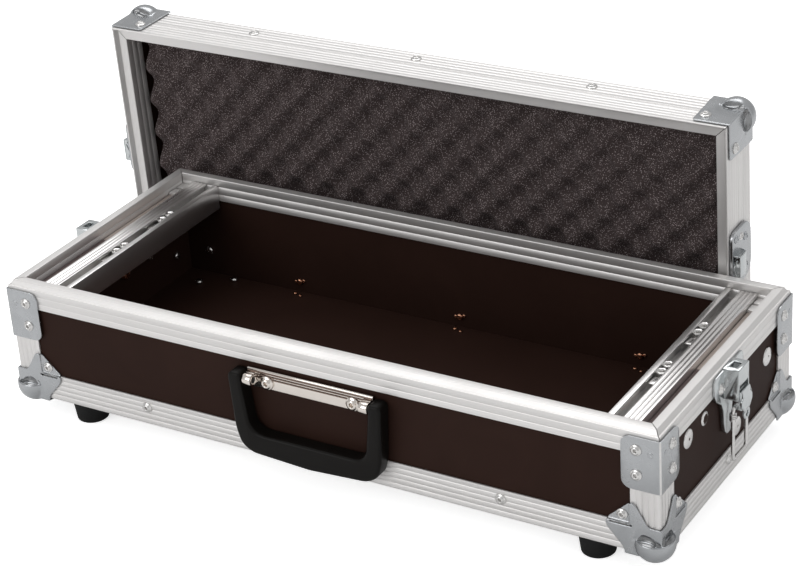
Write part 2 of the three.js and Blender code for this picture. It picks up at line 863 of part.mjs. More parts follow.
function latchBase() {
  const top = base + latchPlateTop;
  const outline = pearOutline(latchHalf, latchPlateDrop, -1);
  const plateAt = (x) => new THREE.Vector3(x, 0, top);
  const plate = slab(outline, latchWall, axisY, axisZ, plateAt(seat));
  const flangeFoot = rimShoulder - trayFlange - seat;
  const panelSeat = seat - skin;
  const lobe = slab(outline, latchWall - panelSeat + seat, axisY, axisZ, plateAt(panelSeat))
    .intersect(block([panelSeat, -latchHalf, top - latchPlateDrop - overrun], [hoodOut, latchHalf, flangeFoot]));
  const inside = hoodWidth / 2 - hoodWall;
  const outer = latchWall + hoodOut;
  const foot = base + hoodFoot;
  const crest = base + hoodTop;
  const pinX = pinOut;
  const pinZ = base + pinUp;
  const root = latchWall / 2;
  const cheeks = [-1, 1].map((side) => {
    const ys = [side * inside, side * (hoodWidth / 2)].sort((a, b) => a - b);
    return block([root, ys[0], base + cheekFoot], [outer, ys[1], crest]);
  });
  const face = block([outer - hoodWall, -hoodWidth / 2, foot], [outer, hoodWidth / 2, crest]);
  const roof = block([root, -hoodWidth / 2, crest - hoodWall], [outer, hoodWidth / 2, crest]);
  const middle = (seat + latchWall + outer - hoodWall) / 2;
  const hole = block(
    [middle - hoodHoleDeep / 2, -hoodHoleWide / 2, crest - hoodWall - overrun],
    [middle + hoodHoleDeep / 2, hoodHoleWide / 2, crest + overrun],
  );
  const reach = hoodWidth / 2 + pinHeadLong;
  const pinAt = (y) => new THREE.Vector3(pinX, y, pinZ);
  const pin = rod(pinRadius, pinAt(-reach), pinAt(reach), 10);
  const heads = [-1, 1].map((side) =>
    rod(pinHead, pinAt(side * (hoodWidth / 2 - hoodWall / 2)), pinAt(side * reach), 10));
  const rivets = [-1, 1].map((side) => head(
    rivetRadius,
    rivetRise,
    new THREE.Vector3(seat + latchWall, side * (hoodWidth / 2 + latchRivetY / 2), base + latchRivetUp),
    axisX,
  ));
  return cut(join([plate, lobe, ...cheeks, face, roof, pin, ...heads, ...rivets]), [hole]);
}

// The lever's side, seen along the pin: out from the pin centre, and up from the case's edging underside.
function leverSolid() {
  const inner = leverOut;
  const outer = leverOut + leverThick;
  const z = (height) => height - pinUp;
  const plateSide = [
    [inner, z(leverFoot)],
    [outer, z(leverFoot)],
    [outer, 0],
    [inner + leverThick / 3, z(leverTop)],
    [inner, z(leverTop)],
  ];
  const across = (outline, width, from) =>
    slab(outline, width, axisX, axisZ, new THREE.Vector3(0, from + width, 0));
  const narrow = across(plateSide, leverWidth, -leverWidth / 2);
  const wingSide = [
    [inner, z(leverFoot)],
    [outer, z(leverFoot)],
    [outer, z(wingTop)],
    [inner, z(wingTop)],
  ];
  const wing = across(wingSide, wingWidth, -wingWidth / 2);
  const cheekSide = [
    [-leverCheekBack, z(leverFoot) + leverCheek],
    [inner + leverThick / 3, z(leverFoot) + leverCheek],
    [inner + leverThick / 3, z(leverTop) - leverCheek],
    [0, z(leverTop) - leverCheek],
    [-leverCheekBack, leverCheekBack / 2],
  ];
  const cheeks = [-leverWidth / 2, leverWidth / 2 - leverCheek].map((from) =>
    across(cheekSide, leverCheek, from));
  const bore = (radius, height) => rod(
    radius + runClear,
    new THREE.Vector3(0, -leverWidth, height),
    new THREE.Vector3(0, leverWidth, height),
    12,
  );
  const ringAt = new THREE.Vector3(inner + ringWire, 0, z(leverFoot) - ringDrop + ringRadius);
  const ring = new THREE.TorusGeometry(ringRadius, ringWire, 6, 14);
  ring.rotateY(quarter).translate(ringAt.x, ringAt.y, ringAt.z);
  const bores = [bore(pinRadius, 0), bore(bailWire, z(bailUp))];
  return join([cut(join([narrow, wing, ...cheeks]), bores), solid(ring)]);
}

// The wire bail, with its origin on the centre of its hooked ends.
function bailSolid() {
  const inner = leverWidth / 2 - leverCheek - bailTail;
  const down = axisZ.clone().negate();
  const steps = 4;
  const right = axisY;
  const left = axisY.clone().negate();
  const at = (y, z) => new THREE.Vector3(0, y, z);
  const points = [
    at(-inner, 0),
    ...bend(at(-bailHalf, 0), right, down, bailBend, steps),
    ...bend(at(-bailHalf, -bailDrop), axisZ, right, bailBend, steps),
    ...bend(at(bailHalf, -bailDrop), left, axisZ, bailBend, steps),
    ...bend(at(bailHalf, 0), down, left, bailBend, steps),
    at(inner, 0),
  ];
  return wire(points, bailWire, 8);
}

function addLatches(tray) {
  const latch = latchBase();
  const lever = leverSolid();
  const bail = bailSolid();
  for (const [name, side] of [["left", -1], ["right", 1]]) {
    const end = new THREE.Group();
    end.position.set(side * halfLength, latchY, 0);
    end.scale.x = side;
    tray.add(end);
    add(end, "latch_base_" + name, "zinc", latch);
    const hinge = new THREE.Group();
    hinge.position.set(pinOut, 0, base + pinUp);
    end.add(hinge);
    add(hinge, "latch_lever_" + name, "zinc", lever);
    const hook = new THREE.Group();
    hook.position.z = bailUp - pinUp;
    hinge.add(hook);
    add(hook, "latch_bail_" + name, "zinc", bail);
  }
}

// Lid, drawn as it lies closed: the lip plane is z = 0 and the lid rises from it

function addLidShell(lid) {
  const x = halfLength - skin;
  const y = halfDepth - skin;
  const low = lidRecess + edgeWall + seat;
  const high = lidRise - skin;
  const c = panelChamfer;
  const outline = [
    [-x + c, -y], [x - c, -y], [x, -y + c], [x, y - c],
    [x - c, y], [-x + c, y], [-x, y - c], [-x, -y + c],
  ];
  const inX = x - panelThick;
  const inY = y - panelThick;
  const ring = slab(outline, high - low, axisX, axisY, new THREE.Vector3(0, 0, low));
  const well = block([-inX, -inY, low - overrun], [inX, inY, high + overrun]);
  add(lid, "lid_side_frame", "plywood", cut(ring, [well]));
  const cover = block(
    [-inX + seat, -inY + seat, high - panelThick],
    [inX - seat, inY - seat, high],
  );
  add(lid, "lid_cover", "plywood", cover);
}

function addLidEdging(lid) {
  const top = new THREE.Group();
  top.position.z = lidRise;
  top.scale.z = -1;
  lid.add(top);
  const rivetHeight = angleLeg * lidRivetShare;
  sides.forEach((name, side) => {
    const rivets = edgeRivets(side, rivetHeight, side % 2 < 1);
    const bar = sideBar(angleSection(), side, angleTrim, 0);
    add(sideGroup(top, side), "lid_edge_" + name, "aluminium", join([bar, ...rivets]));
    const rim = sideBar(lidRimSection(), side, mitreGap, 1);
    add(sideGroup(lid, side), "lid_rim_" + name, "aluminium", rim);
  });
}

function addLidCorners(lid) {
  const ball = lidBallCorner();
  for (const corner of corners) {
    add(cornerGroup(lid, corner, lidRise, -1), "lid_ball_corner_" + corner.name, "zinc", ball);
  }
}

// Bumps and hollows at every half pitch, facing the opening.
function addFoam(lid) {
  const x = halfLength - rimWidth - foamEndGap;
  const y = halfDepth - rimWidth - foamSideGap;
  const back = lidRise - skin - panelThick - seat;
  const columns = 2 * Math.round((2 * x) / foamPitch);
  const rows = 2 * Math.round((2 * y) / foamPitch);
  const middle = (foamPeak + foamValley) / 2;
  const swing = (foamValley - foamPeak) / 2;
  const points = [];
  const faces = [];
  for (let j = 0; j <= rows; j += 1) {
    for (let i = 0; i <= columns; i += 1) {
      const wave = Math.cos(2 * quarter * (i + j));
      points.push(-x + (2 * x * i) / columns, -y + (2 * y * j) / rows, middle - swing * wave);
    }
  }
  const wide = columns + 1;
  for (let j = 0; j < rows; j += 1) {
    for (let i = 0; i < columns; i += 1) {
      const k = j * wide + i;
      if ((i + j) % 2) faces.push(k, k + wide, k + 1, k + 1, k + wide, k + wide + 1);
      else faces.push(k, k + wide, k + wide + 1, k, k + wide + 1, k + 1);
    }
  }
  const border = [];
  for (let i = 0; i < columns; i += 1) border.push(i);
  for (let j = 0; j < rows; j += 1) border.push(j * wide + columns);
  for (let i = columns; i > 0; i -= 1) border.push(rows * wide + i);
  for (let j = rows; j > 0; j -= 1) border.push(j * wide);
  const start = points.length / 3;
  for (const k of border) points.push(points[3 * k], points[3 * k + 1], back);
  border.forEach((k, i) => {
    const next = (i + 1) % border.length;
    faces.push(k, border[next], start + i, border[next], start + next, start + i);
    if (i > 1) faces.push(start, start + i - 1, start + i);
  });
  const made = new THREE.BufferGeometry();
  made.setAttribute("position", new THREE.Float32BufferAttribute(points, 3));
  made.setIndex(faces);
  add(lid, "foam_lining", "foam", solid(made));
}

function keeperSolid() {
  const plate = slab(
    pearOutline(keeperHalf, keeperTall, 1).reverse(),
    latchWall,
    axisY,
    axisZ,
    new THREE.Vector3(seat, 0, keeperFoot),
  );
  const root = latchWall / 2;
  const outer = latchWall + keeperHoodOut;
  const inside = hoodWidth / 2 - hoodWall;
  const hood = block([root, -hoodWidth / 2, keeperHoodFoot], [outer, hoodWidth / 2, keeperHoodTop]);
  const hollow = block(
    [seat + latchWall, -inside, keeperHoodFoot - overrun],
    [outer - hoodWall, inside, keeperHoodTop - hoodWall],
  );
  const claw = [
    [root, clawFoot],
    [outer - clawWall, clawTop - clawWall],
    [outer - clawWall, clawTop],
    [outer - 2 * clawWall, clawTop],
    [root, clawFoot + clawWall],
  ];
  const hook = slab(claw, clawWidth, axisX, axisZ, new THREE.Vector3(0, clawWidth / 2, 0));
  const rivets = [-1, 1].map((side) => head(
    rivetRadius,
    rivetRise,
    new THREE.Vector3(seat + latchWall, side * (hoodWidth / 2 + keeperRivetY / 2), keeperRivetUp),
    axisX,
  ));
  return join([plate, cut(hood, [hollow]), hook, ...rivets]);
}

function addKeepers(lid) {
  const keeper = keeperSolid();
  for (const [name, side] of [["left", -1], ["right", 1]]) {
    const end = new THREE.Group();
    end.position.set(side * halfLength, latchY, 0);
    end.scale.x = side;
    lid.add(end);
    add(end, "keeper_" + name, "zinc", keeper);
  }
}

function addLid(parent) {
  const lean = THREE.MathUtils.degToRad(lidLeanDeg);
  const stand = new THREE.Group();
  const ballUp = (halfDepth - ballInset) * Math.cos(lean) - (lidRise - ballInset) * Math.sin(lean);
  stand.position.set(lidShift, halfDepth - lidNestle, floorZ + lidFloorGap + ballRadius + ballUp);
  stand.rotation.z = THREE.MathUtils.degToRad(lidYawDeg);
  parent.add(stand);
  const lid = new THREE.Group();
  lid.rotation.x = lean - quarter;
  stand.add(lid);
  addLidShell(lid);
  addLidEdging(lid);
  addLidCorners(lid);
  addFoam(lid);
  addKeepers(lid);
}

addTrayPanels(root);
addTrayEdging(root);
addTrayCorners(root);
addFeet(root);
addRails(root);
addHandlePlate(root);
addGrip(root);
addLatches(root);
addLid(root);

export default root;
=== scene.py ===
# %% [markdown]
# # A flight case for a rack-width lighting desk
# The case is an open plywood tray with aluminium edging and a lift-off lid that stands behind it.
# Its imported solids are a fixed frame: plain metal stays as it is and only gets a finish, and whatever
# is round, soft or pressed is made again here with more care. All meshes are drawn in millimetres
# in the frame's own axes, and are scaled to metres when they become pieces.

# %% Load the frame
import json
import math

import bmesh
import bpy
from mathutils import Matrix, Vector


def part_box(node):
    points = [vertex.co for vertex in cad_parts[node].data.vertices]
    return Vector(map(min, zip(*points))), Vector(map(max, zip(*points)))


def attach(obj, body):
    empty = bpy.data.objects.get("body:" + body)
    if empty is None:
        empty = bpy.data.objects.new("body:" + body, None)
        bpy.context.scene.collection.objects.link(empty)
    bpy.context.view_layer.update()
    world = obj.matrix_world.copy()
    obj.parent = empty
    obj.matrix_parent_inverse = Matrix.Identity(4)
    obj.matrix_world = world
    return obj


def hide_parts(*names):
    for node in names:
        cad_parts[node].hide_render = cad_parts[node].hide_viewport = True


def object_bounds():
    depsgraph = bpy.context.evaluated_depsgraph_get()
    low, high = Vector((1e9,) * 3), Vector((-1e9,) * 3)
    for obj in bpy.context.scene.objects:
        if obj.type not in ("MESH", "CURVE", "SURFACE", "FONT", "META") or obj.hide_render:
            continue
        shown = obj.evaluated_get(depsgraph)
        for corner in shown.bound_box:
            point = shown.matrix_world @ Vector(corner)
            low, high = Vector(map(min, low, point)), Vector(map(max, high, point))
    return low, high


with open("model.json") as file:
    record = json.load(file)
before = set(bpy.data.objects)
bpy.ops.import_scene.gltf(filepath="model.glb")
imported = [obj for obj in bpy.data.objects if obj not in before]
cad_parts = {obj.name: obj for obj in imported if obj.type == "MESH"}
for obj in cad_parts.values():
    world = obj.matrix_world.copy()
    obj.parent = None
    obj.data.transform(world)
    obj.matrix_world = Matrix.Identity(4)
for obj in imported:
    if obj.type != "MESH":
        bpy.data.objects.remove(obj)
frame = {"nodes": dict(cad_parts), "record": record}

cad_box = [list(corner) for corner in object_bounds()]
nodes = frame["nodes"]
MM = 0.001
X, Y, Z = Vector((1, 0, 0)), Vector((0, 1, 0)), Vector((0, 0, 1))
print("frame", len(nodes), "nodes", [[round(v, 4) for v in corner] for corner in cad_box])

# %% [markdown]
# The camera stands where the photographer stood: to the right of the case, a little above it, with a
# long lens. It leans by four degrees, so its axes are worked out from where it looks, then rolled.

# %% Camera
EYE = Vector((0.81018, -1.26765, 0.86677))
TARGET = Vector((-0.00509, 0.02346, 0.08304))
ROLL = math.radians(-4.04)
FOCAL_LENGTH, SENSOR_WIDTH, NEAR_LIMIT = 103.13, 36, 0.05


def linked(made):
    bpy.context.scene.collection.objects.link(made)
    return made


def camera_axes(eye, target, roll):
    forward = (target - eye).normalized()
    right = forward.cross(Z).normalized()
    up = right.cross(forward)
    rolled_right = right * math.cos(roll) + up * math.sin(roll)
    rolled_up = up * math.cos(roll) - right * math.sin(roll)
    return Matrix((rolled_right, rolled_up, -forward)).transposed().to_4x4()


camera = linked(bpy.data.objects.new("camera", bpy.data.cameras.new("camera")))
camera.data.sensor_fit, camera.data.sensor_width = "HORIZONTAL", SENSOR_WIDTH
camera.data.lens, camera.data.clip_start = FOCAL_LENGTH, NEAR_LIMIT
camera.matrix_world = Matrix.Translation(EYE) @ camera_axes(EYE, TARGET, ROLL)
bpy.context.scene.camera = camera
print("camera", round((TARGET - EYE).length, 3), "m away")

# %% [markdown]
# A product picture of bright metal needs something bright to mirror. The world is a plain pale grey
# dome, the floor is white, and three large soft lamps make the light a little stronger from above
# and behind, so the rim's top face is the brightest thing and the walls inside fall into shadow.
# Only the camera sees the background as plain white, and the floor lifted a little to meet it.

# %% Floor, world and lamps
FLOOR_Z = cad_box[0][2] - 0.0001
FLOOR_HALF = 4.0
FLOOR_GLOW, WORLD_FILL = 0.7, 0.55
WHITE = (1, 1, 1, 1)
LAMPS = {
    "lamp_above": ((-0.5, 0.8, 2.2), (0, 0, 0.1), (2.4, 1.6), 26),
    "lamp_front": ((-0.9, -2.4, 1.3), (0, 0, 0.1), (1.6, 1.6), 18),
    "lamp_right": ((2.4, -0.4, 1.2), (0.1, 0, 0.1), (1.4, 1.4), 3),
}


def link_nodes(tree, *links):
    for giver, out, taker, into in links:
        tree.links.new(giver.outputs[out], taker.inputs[into])


def preset(made, values):
    for socket, value in values.items():
        made.inputs[socket].default_value = value


def node(tree, kind, values=(), **settings):
    made = tree.nodes.new(kind if "Node" in kind else "ShaderNode" + kind)
    for name, value in settings.items():
        setattr(made, name, value)
    preset(made, dict(values))
    return made


def mix_for_camera(tree, usual, shown, output):
    """The usual shader, with the shown one in its place where the camera looks straight at it."""
    seen, path = node(tree, "MixShader"), node(tree, "LightPath")
    link_nodes(
        tree,
        (path, "Is Camera Ray", seen, 0), (usual, 0, seen, 1), (shown, 0, seen, 2),
        (seen, 0, tree.nodes[output], 0),
    )


def make_floor():
    corners = [(-1, -1), (1, -1), (1, 1), (-1, 1)]
    mesh = bpy.data.meshes.new("floor")
    mesh.from_pydata([(x * FLOOR_HALF, y * FLOOR_HALF, FLOOR_Z) for x, y in corners], [], [(0, 1, 2, 3)])
    floor = linked(bpy.data.objects.new("floor", mesh))
    material = bpy.data.materials.new("white_floor")
    material.use_nodes = True
    tree = material.node_tree
    surface = tree.nodes["Principled BSDF"]
    preset(surface, {"Base Color": (0.9, 0.9, 0.9, 1), "Roughness": 0.9, "Specular IOR Level": 0.1})
    glow, both = node(tree, "Emission", {"Strength": FLOOR_GLOW}), node(tree, "AddShader")
    link_nodes(tree, (surface, 0, both, 0), (glow, 0, both, 1))
    mix_for_camera(tree, surface, both, "Material Output")
    mesh.materials.append(material)


def make_world():
    world = bpy.data.worlds.new("studio")
    bpy.context.scene.world = world
    world.use_nodes = True
    tree = world.node_tree
    light = tree.nodes["Background"]
    preset(light, {"Color": WHITE, "Strength": WORLD_FILL})
    mix_for_camera(tree, light, node(tree, "Background", {"Color": WHITE, "Strength": 1}), "World Output")


def soft_lamp(name, place, aim, size, power):
    lamp = bpy.data.lights.new(name, "AREA")
    lamp.shape = "RECTANGLE"
    lamp.size, lamp.size_y = size
    lamp.energy = power
    holder = linked(bpy.data.objects.new(name, lamp))
    holder.location = place
    holder.rotation_euler = (Vector(aim) - Vector(place)).to_track_quat("-Z", "Y").to_euler()


make_floor()
make_world()
for name, setting in LAMPS.items():
    soft_lamp(name, *setting)
bpy.context.scene.view_settings.view_transform = "Standard"
print("floor at", round(FLOOR_Z, 4), "m,", len(bpy.data.lights), "lamps")

# %% [markdown]
# Three effects turn up in several finishes, so each is a node group that is built once. Drawn lines
# are the faint streaks that a die leaves along an extrusion. Smudges are broad, soft patches of
# handling. Grain is the fine tooth of plastic, rubber and film. They only put out numbers: the
# materials decide what the numbers change.

# %% Shader groups
def new_tree(kind, name, inputs, outputs):
    """A node tree. An input is given by its default value, or by its kind where it has none."""
    tree = bpy.data.node_groups.new(name, kind)
    for label, value in inputs.items():
        sort = value if isinstance(value, str) else "Vector" if isinstance(value, tuple) else "Float"
        socket = tree.interface.new_socket(label, in_out="INPUT", socket_type="NodeSocket" + sort)
        if value != sort:
            socket.default_value = value
    for label, sort in outputs.items():
        tree.interface.new_socket(label, in_out="OUTPUT", socket_type="NodeSocket" + sort)
    return tree, node(tree, "NodeGroupInput"), node(tree, "NodeGroupOutput")


def drawn_lines_group():
    group, source, sink = new_tree(
        "ShaderNodeTree", "drawn_lines", {"Vector": "Vector", "Along": (1, 1, 1), "Fineness": 900},
        {"Lines": "Float", "Broad": "Float"})
    scaled = node(group, "VectorMath", operation="MULTIPLY")
    fine = node(group, "TexNoise", {"Detail": 3, "Roughness": 0.6})
    broad = node(group, "TexNoise", {"Detail": 2, "Roughness": 0.5, "Scale": 120})
    link_nodes(
        group,
        (source, "Vector", scaled, 0), (source, "Along", scaled, 1), (scaled, 0, fine, "Vector"),
        (source, "Fineness", fine, "Scale"), (scaled, 0, broad, "Vector"), (fine, 0, sink, "Lines"),
        (broad, 0, sink, "Broad"),
    )
    return group


def smudges_group():
    group, source, sink = new_tree(
        "ShaderNodeTree", "smudges", {"Vector": "Vector", "Size": 30}, {"Patches": "Float"})
    patches = node(group, "TexNoise", {"Detail": 5, "Roughness": 0.65, "Distortion": 0.6})
    link_nodes(
        group,
        (source, "Vector", patches, "Vector"), (source, "Size", patches, "Scale"),
        (patches, 0, sink, "Patches"),
    )
    return group


def grain_group():
    group, source, sink = new_tree(
        "ShaderNodeTree", "grain", {"Vector": "Vector", "Fineness": 1500},
        {"Grain": "Float", "Flecks": "Float"})
    tooth = node(group, "TexNoise", {"Detail": 2, "Roughness": 0.7})
    cells = node(group, "TexVoronoi")
    flecks = node(group, "MapRange", {"From Min": 0.32, "From Max": 0.16})
    link_nodes(
        group,
        (source, "Vector", tooth, "Vector"), (source, "Fineness", tooth, "Scale"),
        (source, "Vector", cells, "Vector"), (source, "Fineness", cells, "Scale"),
        (cells, "Distance", flecks, "Value"), (tooth, 0, sink, "Grain"), (flecks, 0, sink, "Flecks"),
    )
    return group


DRAWN_LINES, SMUDGES, GRAIN = drawn_lines_group(), smudges_group(), grain_group()
print("groups", [g.name for g in (DRAWN_LINES, SMUDGES, GRAIN)])

# %% [markdown]
# Each finish starts from one Principled shader. Its colour is mixed between two tones, its roughness
# is spread between two values, and a little bump breaks up the highlight. What drives each of them is
# one of the groups' outputs, so a new finish takes a line or two.

# %% Finish builder
def finish(name, tones, rough, groups, drive, bump, metallic=0.0, specular=0.5):
    """drive names the group outputs behind the colour, the roughness and the bump, in that order."""
    material = bpy.data.materials.new(name)
    material.use_nodes = True
    tree = material.node_tree
    surface = tree.nodes["Principled BSDF"]
    preset(surface, {"Metallic": metallic, "Specular IOR Level": specular})
    place = node(tree, "TexCoord")
    colour = node(tree, "MixRGB", {1: (*tones[0], 1), 2: (*tones[1], 1)})
    spread = node(tree, "MapRange", {"To Min": rough[0], "To Max": rough[1]})
    relief = node(tree, "Bump", {"Strength": bump[0], "Distance": bump[1]})
    found = {}
    for group, values in groups:
        made = node(tree, "Group", values, node_tree=group)
        link_nodes(tree, (place, "Object", made, "Vector"))
        found.update({label: (made, label) for label in made.outputs.keys()})
    link_nodes(
        tree,
        (*found[drive[0]], colour, 0), (colour, 0, surface, "Base Color"),
        (*found[drive[1]], spread, "Value"), (spread, 0, surface, "Roughness"),
        (*found[drive[2]], relief, "Height"), (relief, 0, surface, "Normal"),
    )
    return material


def aluminium(name, along, rough=(0.34, 0.56), metallic=0.72):
    """Mill-finish extrusion whose streaks run where along is small."""
    return finish(name, [(0.66, 0.645, 0.635), (0.84, 0.825, 0.815)], rough,
                  [(DRAWN_LINES, {"Along": along, "Fineness": 1100}), (SMUDGES, {"Size": 22})],
                  ("Broad", "Patches", "Lines"), (0.22, 0.0002), metallic, specular=0.4)


def plated(name, tones, rough, size=45):
    return finish(name, tones, rough, [(SMUDGES, {"Size": size}), (GRAIN, {"Fineness": 700})],
                  ("Patches", "Patches", "Grain"), (0.1, 0.0001), metallic=1)


def moulded(name, tones, rough, fineness, strength, specular=0.5):
    return finish(name, tones, rough, [(GRAIN, {"Fineness": fineness}), (SMUDGES, {"Size": 18})],
                  ("Patches", "Patches", "Grain"), (strength, 0.0002), specular=specular)


def foam_finish():
    """Open-cell foam: pores too small to model, some of which catch the light as pale flecks."""
    return finish("dark_foam", [(0.066, 0.05, 0.049), (0.52, 0.45, 0.45)], (0.95, 1.0),
                  [(GRAIN, {"Fineness": 900})], ("Flecks", "Grain", "Grain"), (0.9, 0.0012), specular=0.15)


STREAKS_X, STREAKS_Y, STREAKS_Z = (0.01, 1, 1), (1, 0.01, 1), (1, 1, 0.01)
MAT = {
    "aluminium_x": aluminium("aluminium_x", STREAKS_X),
    "aluminium_y": aluminium("aluminium_y", STREAKS_Y),
    "aluminium_z": aluminium("aluminium_z", STREAKS_Z),
    "rail": aluminium("aluminium_rail", STREAKS_Y, (0.22, 0.38), 0.95),
    "zinc": plated("blue_zinc", [(0.36, 0.372, 0.385), (0.55, 0.562, 0.578)], (0.16, 0.36)),
    "latch": plated("bright_zinc", [(0.46, 0.49, 0.5), (0.7, 0.72, 0.725)], (0.12, 0.3)),
    "rivet": plated("plated_rivet", [(0.6, 0.59, 0.58), (0.82, 0.81, 0.8)], (0.16, 0.34), 120),
    "nickel": plated("bright_nickel", [(0.72, 0.66, 0.61), (0.82, 0.77, 0.72)], (0.06, 0.16)),
    # The ribs are the handle's nickel, darkened with painted shade.
    "rib": plated("painted_shade_nickel", [(0.1, 0.07, 0.056), (0.24, 0.175, 0.145)], (0.12, 0.25)),
    "copper": plated("coppery_tail", [(0.5, 0.22, 0.13), (0.8, 0.45, 0.3)], (0.2, 0.35)),
    "plywood": moulded(
        "brown_film", [(0.022, 0.0108, 0.0082), (0.034, 0.0168, 0.0127)], (0.42, 0.55), 500, 0.12, 0.05),
    # Both packing tones carry painted light against the shade under the rail; the far length's pale tone
    # much more.
    "packing": moulded("brown_board", [(0.08, 0.05, 0.048), (0.12, 0.08, 0.076)], (0.3, 0.45), 260, 0.2),
    "painted_light_packing": moulded("painted_light_board", [(0.34, 0.28, 0.25), (0.52, 0.44, 0.4)], (0.3, 0.45), 260, 0.2),
    "rubber": moulded("black_rubber", [(0.006, 0.006, 0.006), (0.012, 0.012, 0.012)], (0.6, 0.8),
                      900, 0.3, 0.2),
    "grip": moulded(
        "black_moulding", [(0.004, 0.0034, 0.003), (0.0075, 0.0064, 0.0056)], (0.3, 0.38), 1400, 0.1, 0.13),
    "foam": foam_finish(),
}
print("finishes", sorted(MAT))

# %% [markdown]
# A solid that is right as it stands keeps its mesh and only gets its finish. The streaks of an
# extrusion follow its length, so the bars that run front to back, left to right and upright each
# have their own turn of the same aluminium.

# %% Finishes for the frame's own solids
def aluminium_for(name):
    if name.startswith("corner_edge"):
        return "aluminium_z"
    upright = name in ("lid_edge_left", "lid_edge_right", "lid_rim_left", "lid_rim_right")
    if upright:
        return "aluminium_z"
    if name.startswith("rack_rail") or name.endswith(("_left", "_right")):
        return "aluminium_y"
    return "aluminium_x"


slot_of = {part["node"]: part["material_slot"] for part in frame["record"]["subparts"]}
for name, part in nodes.items():
    key = aluminium_for(name) if slot_of[name] == "aluminium" else slot_of[name]
    part.data.materials.clear()
    part.data.materials.append(MAT[key])
print("finished", len(nodes), "solids")

# %% [markdown]
# Most pieces are drawn as flat outlines and given a thickness, because that is how sheet metal parts
# are made. A few helpers do this in millimetres: one turns an outline into a plate, one cuts or joins
# solids, one rounds the sharp edges, so that they catch a thin line of light, and one sets the
# finished mesh in place, gives it a finish and tells the frame which body carries it.

# %% Mesh helpers
def mesh_from(bm):
    bmesh.ops.recalc_face_normals(bm, faces=bm.faces)
    mesh = bpy.data.meshes.new("blank")
    bm.to_mesh(mesh)
    bm.free()
    return mesh


def closed(bm, low, high):
    """The solid between two outlines that have the same number of points."""
    bm.faces.new(low)
    bm.faces.new(reversed(high))
    for i in range(len(low)):
        j = (i + 1) % len(low)
        bm.faces.new((low[i], high[i], high[j], low[j]))
    return mesh_from(bm)


def plate(outline, thick, across, up, origin):
    """A flat outline with a thickness along across x up, starting at origin."""
    bm = bmesh.new()
    out = across.cross(up)
    low = [bm.verts.new(origin + across * a + up * b) for a, b in outline]
    return closed(bm, low, [bm.verts.new(v.co + out * thick) for v in low])


def box_mesh(low, high):
    a, b = Vector(low), Vector(high)
    outline = [(a.x, a.y), (b.x, a.y), (b.x, b.y), (a.x, b.y)]
    return plate(outline, b.z - a.z, X, Y, Vector((0, 0, a.z)))


def ball_mesh(radius, centre, across=56, down=28):
    bm = bmesh.new()
    bmesh.ops.create_uvsphere(bm, u_segments=across, v_segments=down, radius=radius)
    bmesh.ops.translate(bm, verts=bm.verts, vec=Vector(centre))
    return mesh_from(bm)


def lathe(profile, steps, matrix=Matrix()):
    """A turned body from (radius, height) points that start and end on the axis."""
    bm = bmesh.new()
    rings = []
    for radius, height in profile:
        if radius < 1e-6:
            rings.append([bm.verts.new((0, 0, height))])
            continue
        turns = [2 * math.pi * i / steps for i in range(steps)]
        rings.append([bm.verts.new((radius * math.cos(t), radius * math.sin(t), height)) for t in turns])
    for one, two in zip(rings, rings[1:]):
        for i in range(steps):
            j = (i + 1) % steps
            corners = (one[i % len(one)], one[j % len(one)], two[j % len(two)], two[i % len(two)])
            if len(set(corners)) > 2:
                bm.faces.new(list(dict.fromkeys(corners)))
    mesh = mesh_from(bm)
    mesh.transform(matrix)
    return mesh


def together(*meshes):
    bm = bmesh.new()
    for mesh in meshes:
        bm.from_mesh(mesh)
    mesh = bpy.data.meshes.new("together")
    bm.to_mesh(mesh)
    bm.free()
    return mesh


def placed_copies(*pairs):
    """Copies of meshes, each moved by its own matrix, as one mesh."""
    made = []
    for mesh, matrix in pairs:
        made.append(mesh.copy())
        made[-1].transform(matrix)
    return together(*made)


def with_modifiers(mesh, *stack):
    """The mesh after modifiers, each given by its kind and its settings."""
    holder = linked(bpy.data.objects.new("passing", mesh))
    for kind, settings in stack:
        modifier = holder.modifiers.new(kind.lower(), kind)
        for name, value in settings.items():
            if name.startswith("Socket_"):
                modifier[name] = value
            else:
                setattr(modifier, name, value)
    graph = bpy.context.evaluated_depsgraph_get()
    done = bpy.data.meshes.new_from_object(holder.evaluated_get(graph))
    bpy.data.objects.remove(holder)
    return done


def solid_sum(mesh, others, operation):
    for other in others:
        tool = linked(bpy.data.objects.new("tool", other))
        settings = {"operation": operation, "solver": "MANIFOLD", "object": tool}
        mesh = with_modifiers(mesh, ("BOOLEAN", settings))
        bpy.data.objects.remove(tool)
    return mesh


def softened(mesh, width, segments=2, angle=30):
    bevel = {"width": width, "segments": segments, "angle_limit": math.radians(angle)}
    return with_modifiers(mesh, ("BEVEL", {"limit_method": "ANGLE", **bevel}))


def tidy_copy(node_name):
    """A CAD solid's mesh in millimetres, with its loose triangles merged back into flat faces."""
    bm = bmesh.new()
    bm.from_mesh(nodes[node_name].data)
    bmesh.ops.scale(bm, verts=bm.verts, vec=(1 / MM,) * 3)
    bmesh.ops.remove_doubles(bm, verts=bm.verts, dist=0.004)
    bmesh.ops.dissolve_limit(bm, angle_limit=math.radians(1.5), verts=bm.verts, edges=bm.edges)
    return mesh_from(bm)


def piece(mesh, name, key, body, matrix=Matrix(), hides=(), sharp=35):
    """Sets a millimetre mesh in place as a finished piece in metres."""
    made = mesh.copy()
    made.transform(matrix)
    if matrix.determinant() < 0:
        made.flip_normals()
    made.transform(Matrix.Scale(MM, 4))
    made.name = name
    made.materials.clear()
    made.materials.append(MAT[key])
    made.polygons.foreach_set("material_index", [0] * len(made.polygons))
    made.polygons.foreach_set("use_smooth", [True] * len(made.polygons))
    made.set_sharp_from_angle(angle=math.radians(sharp))
    part = linked(bpy.data.objects.new(name, made))
    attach(part, body)
    if hides:
        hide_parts(*hides)
    return part


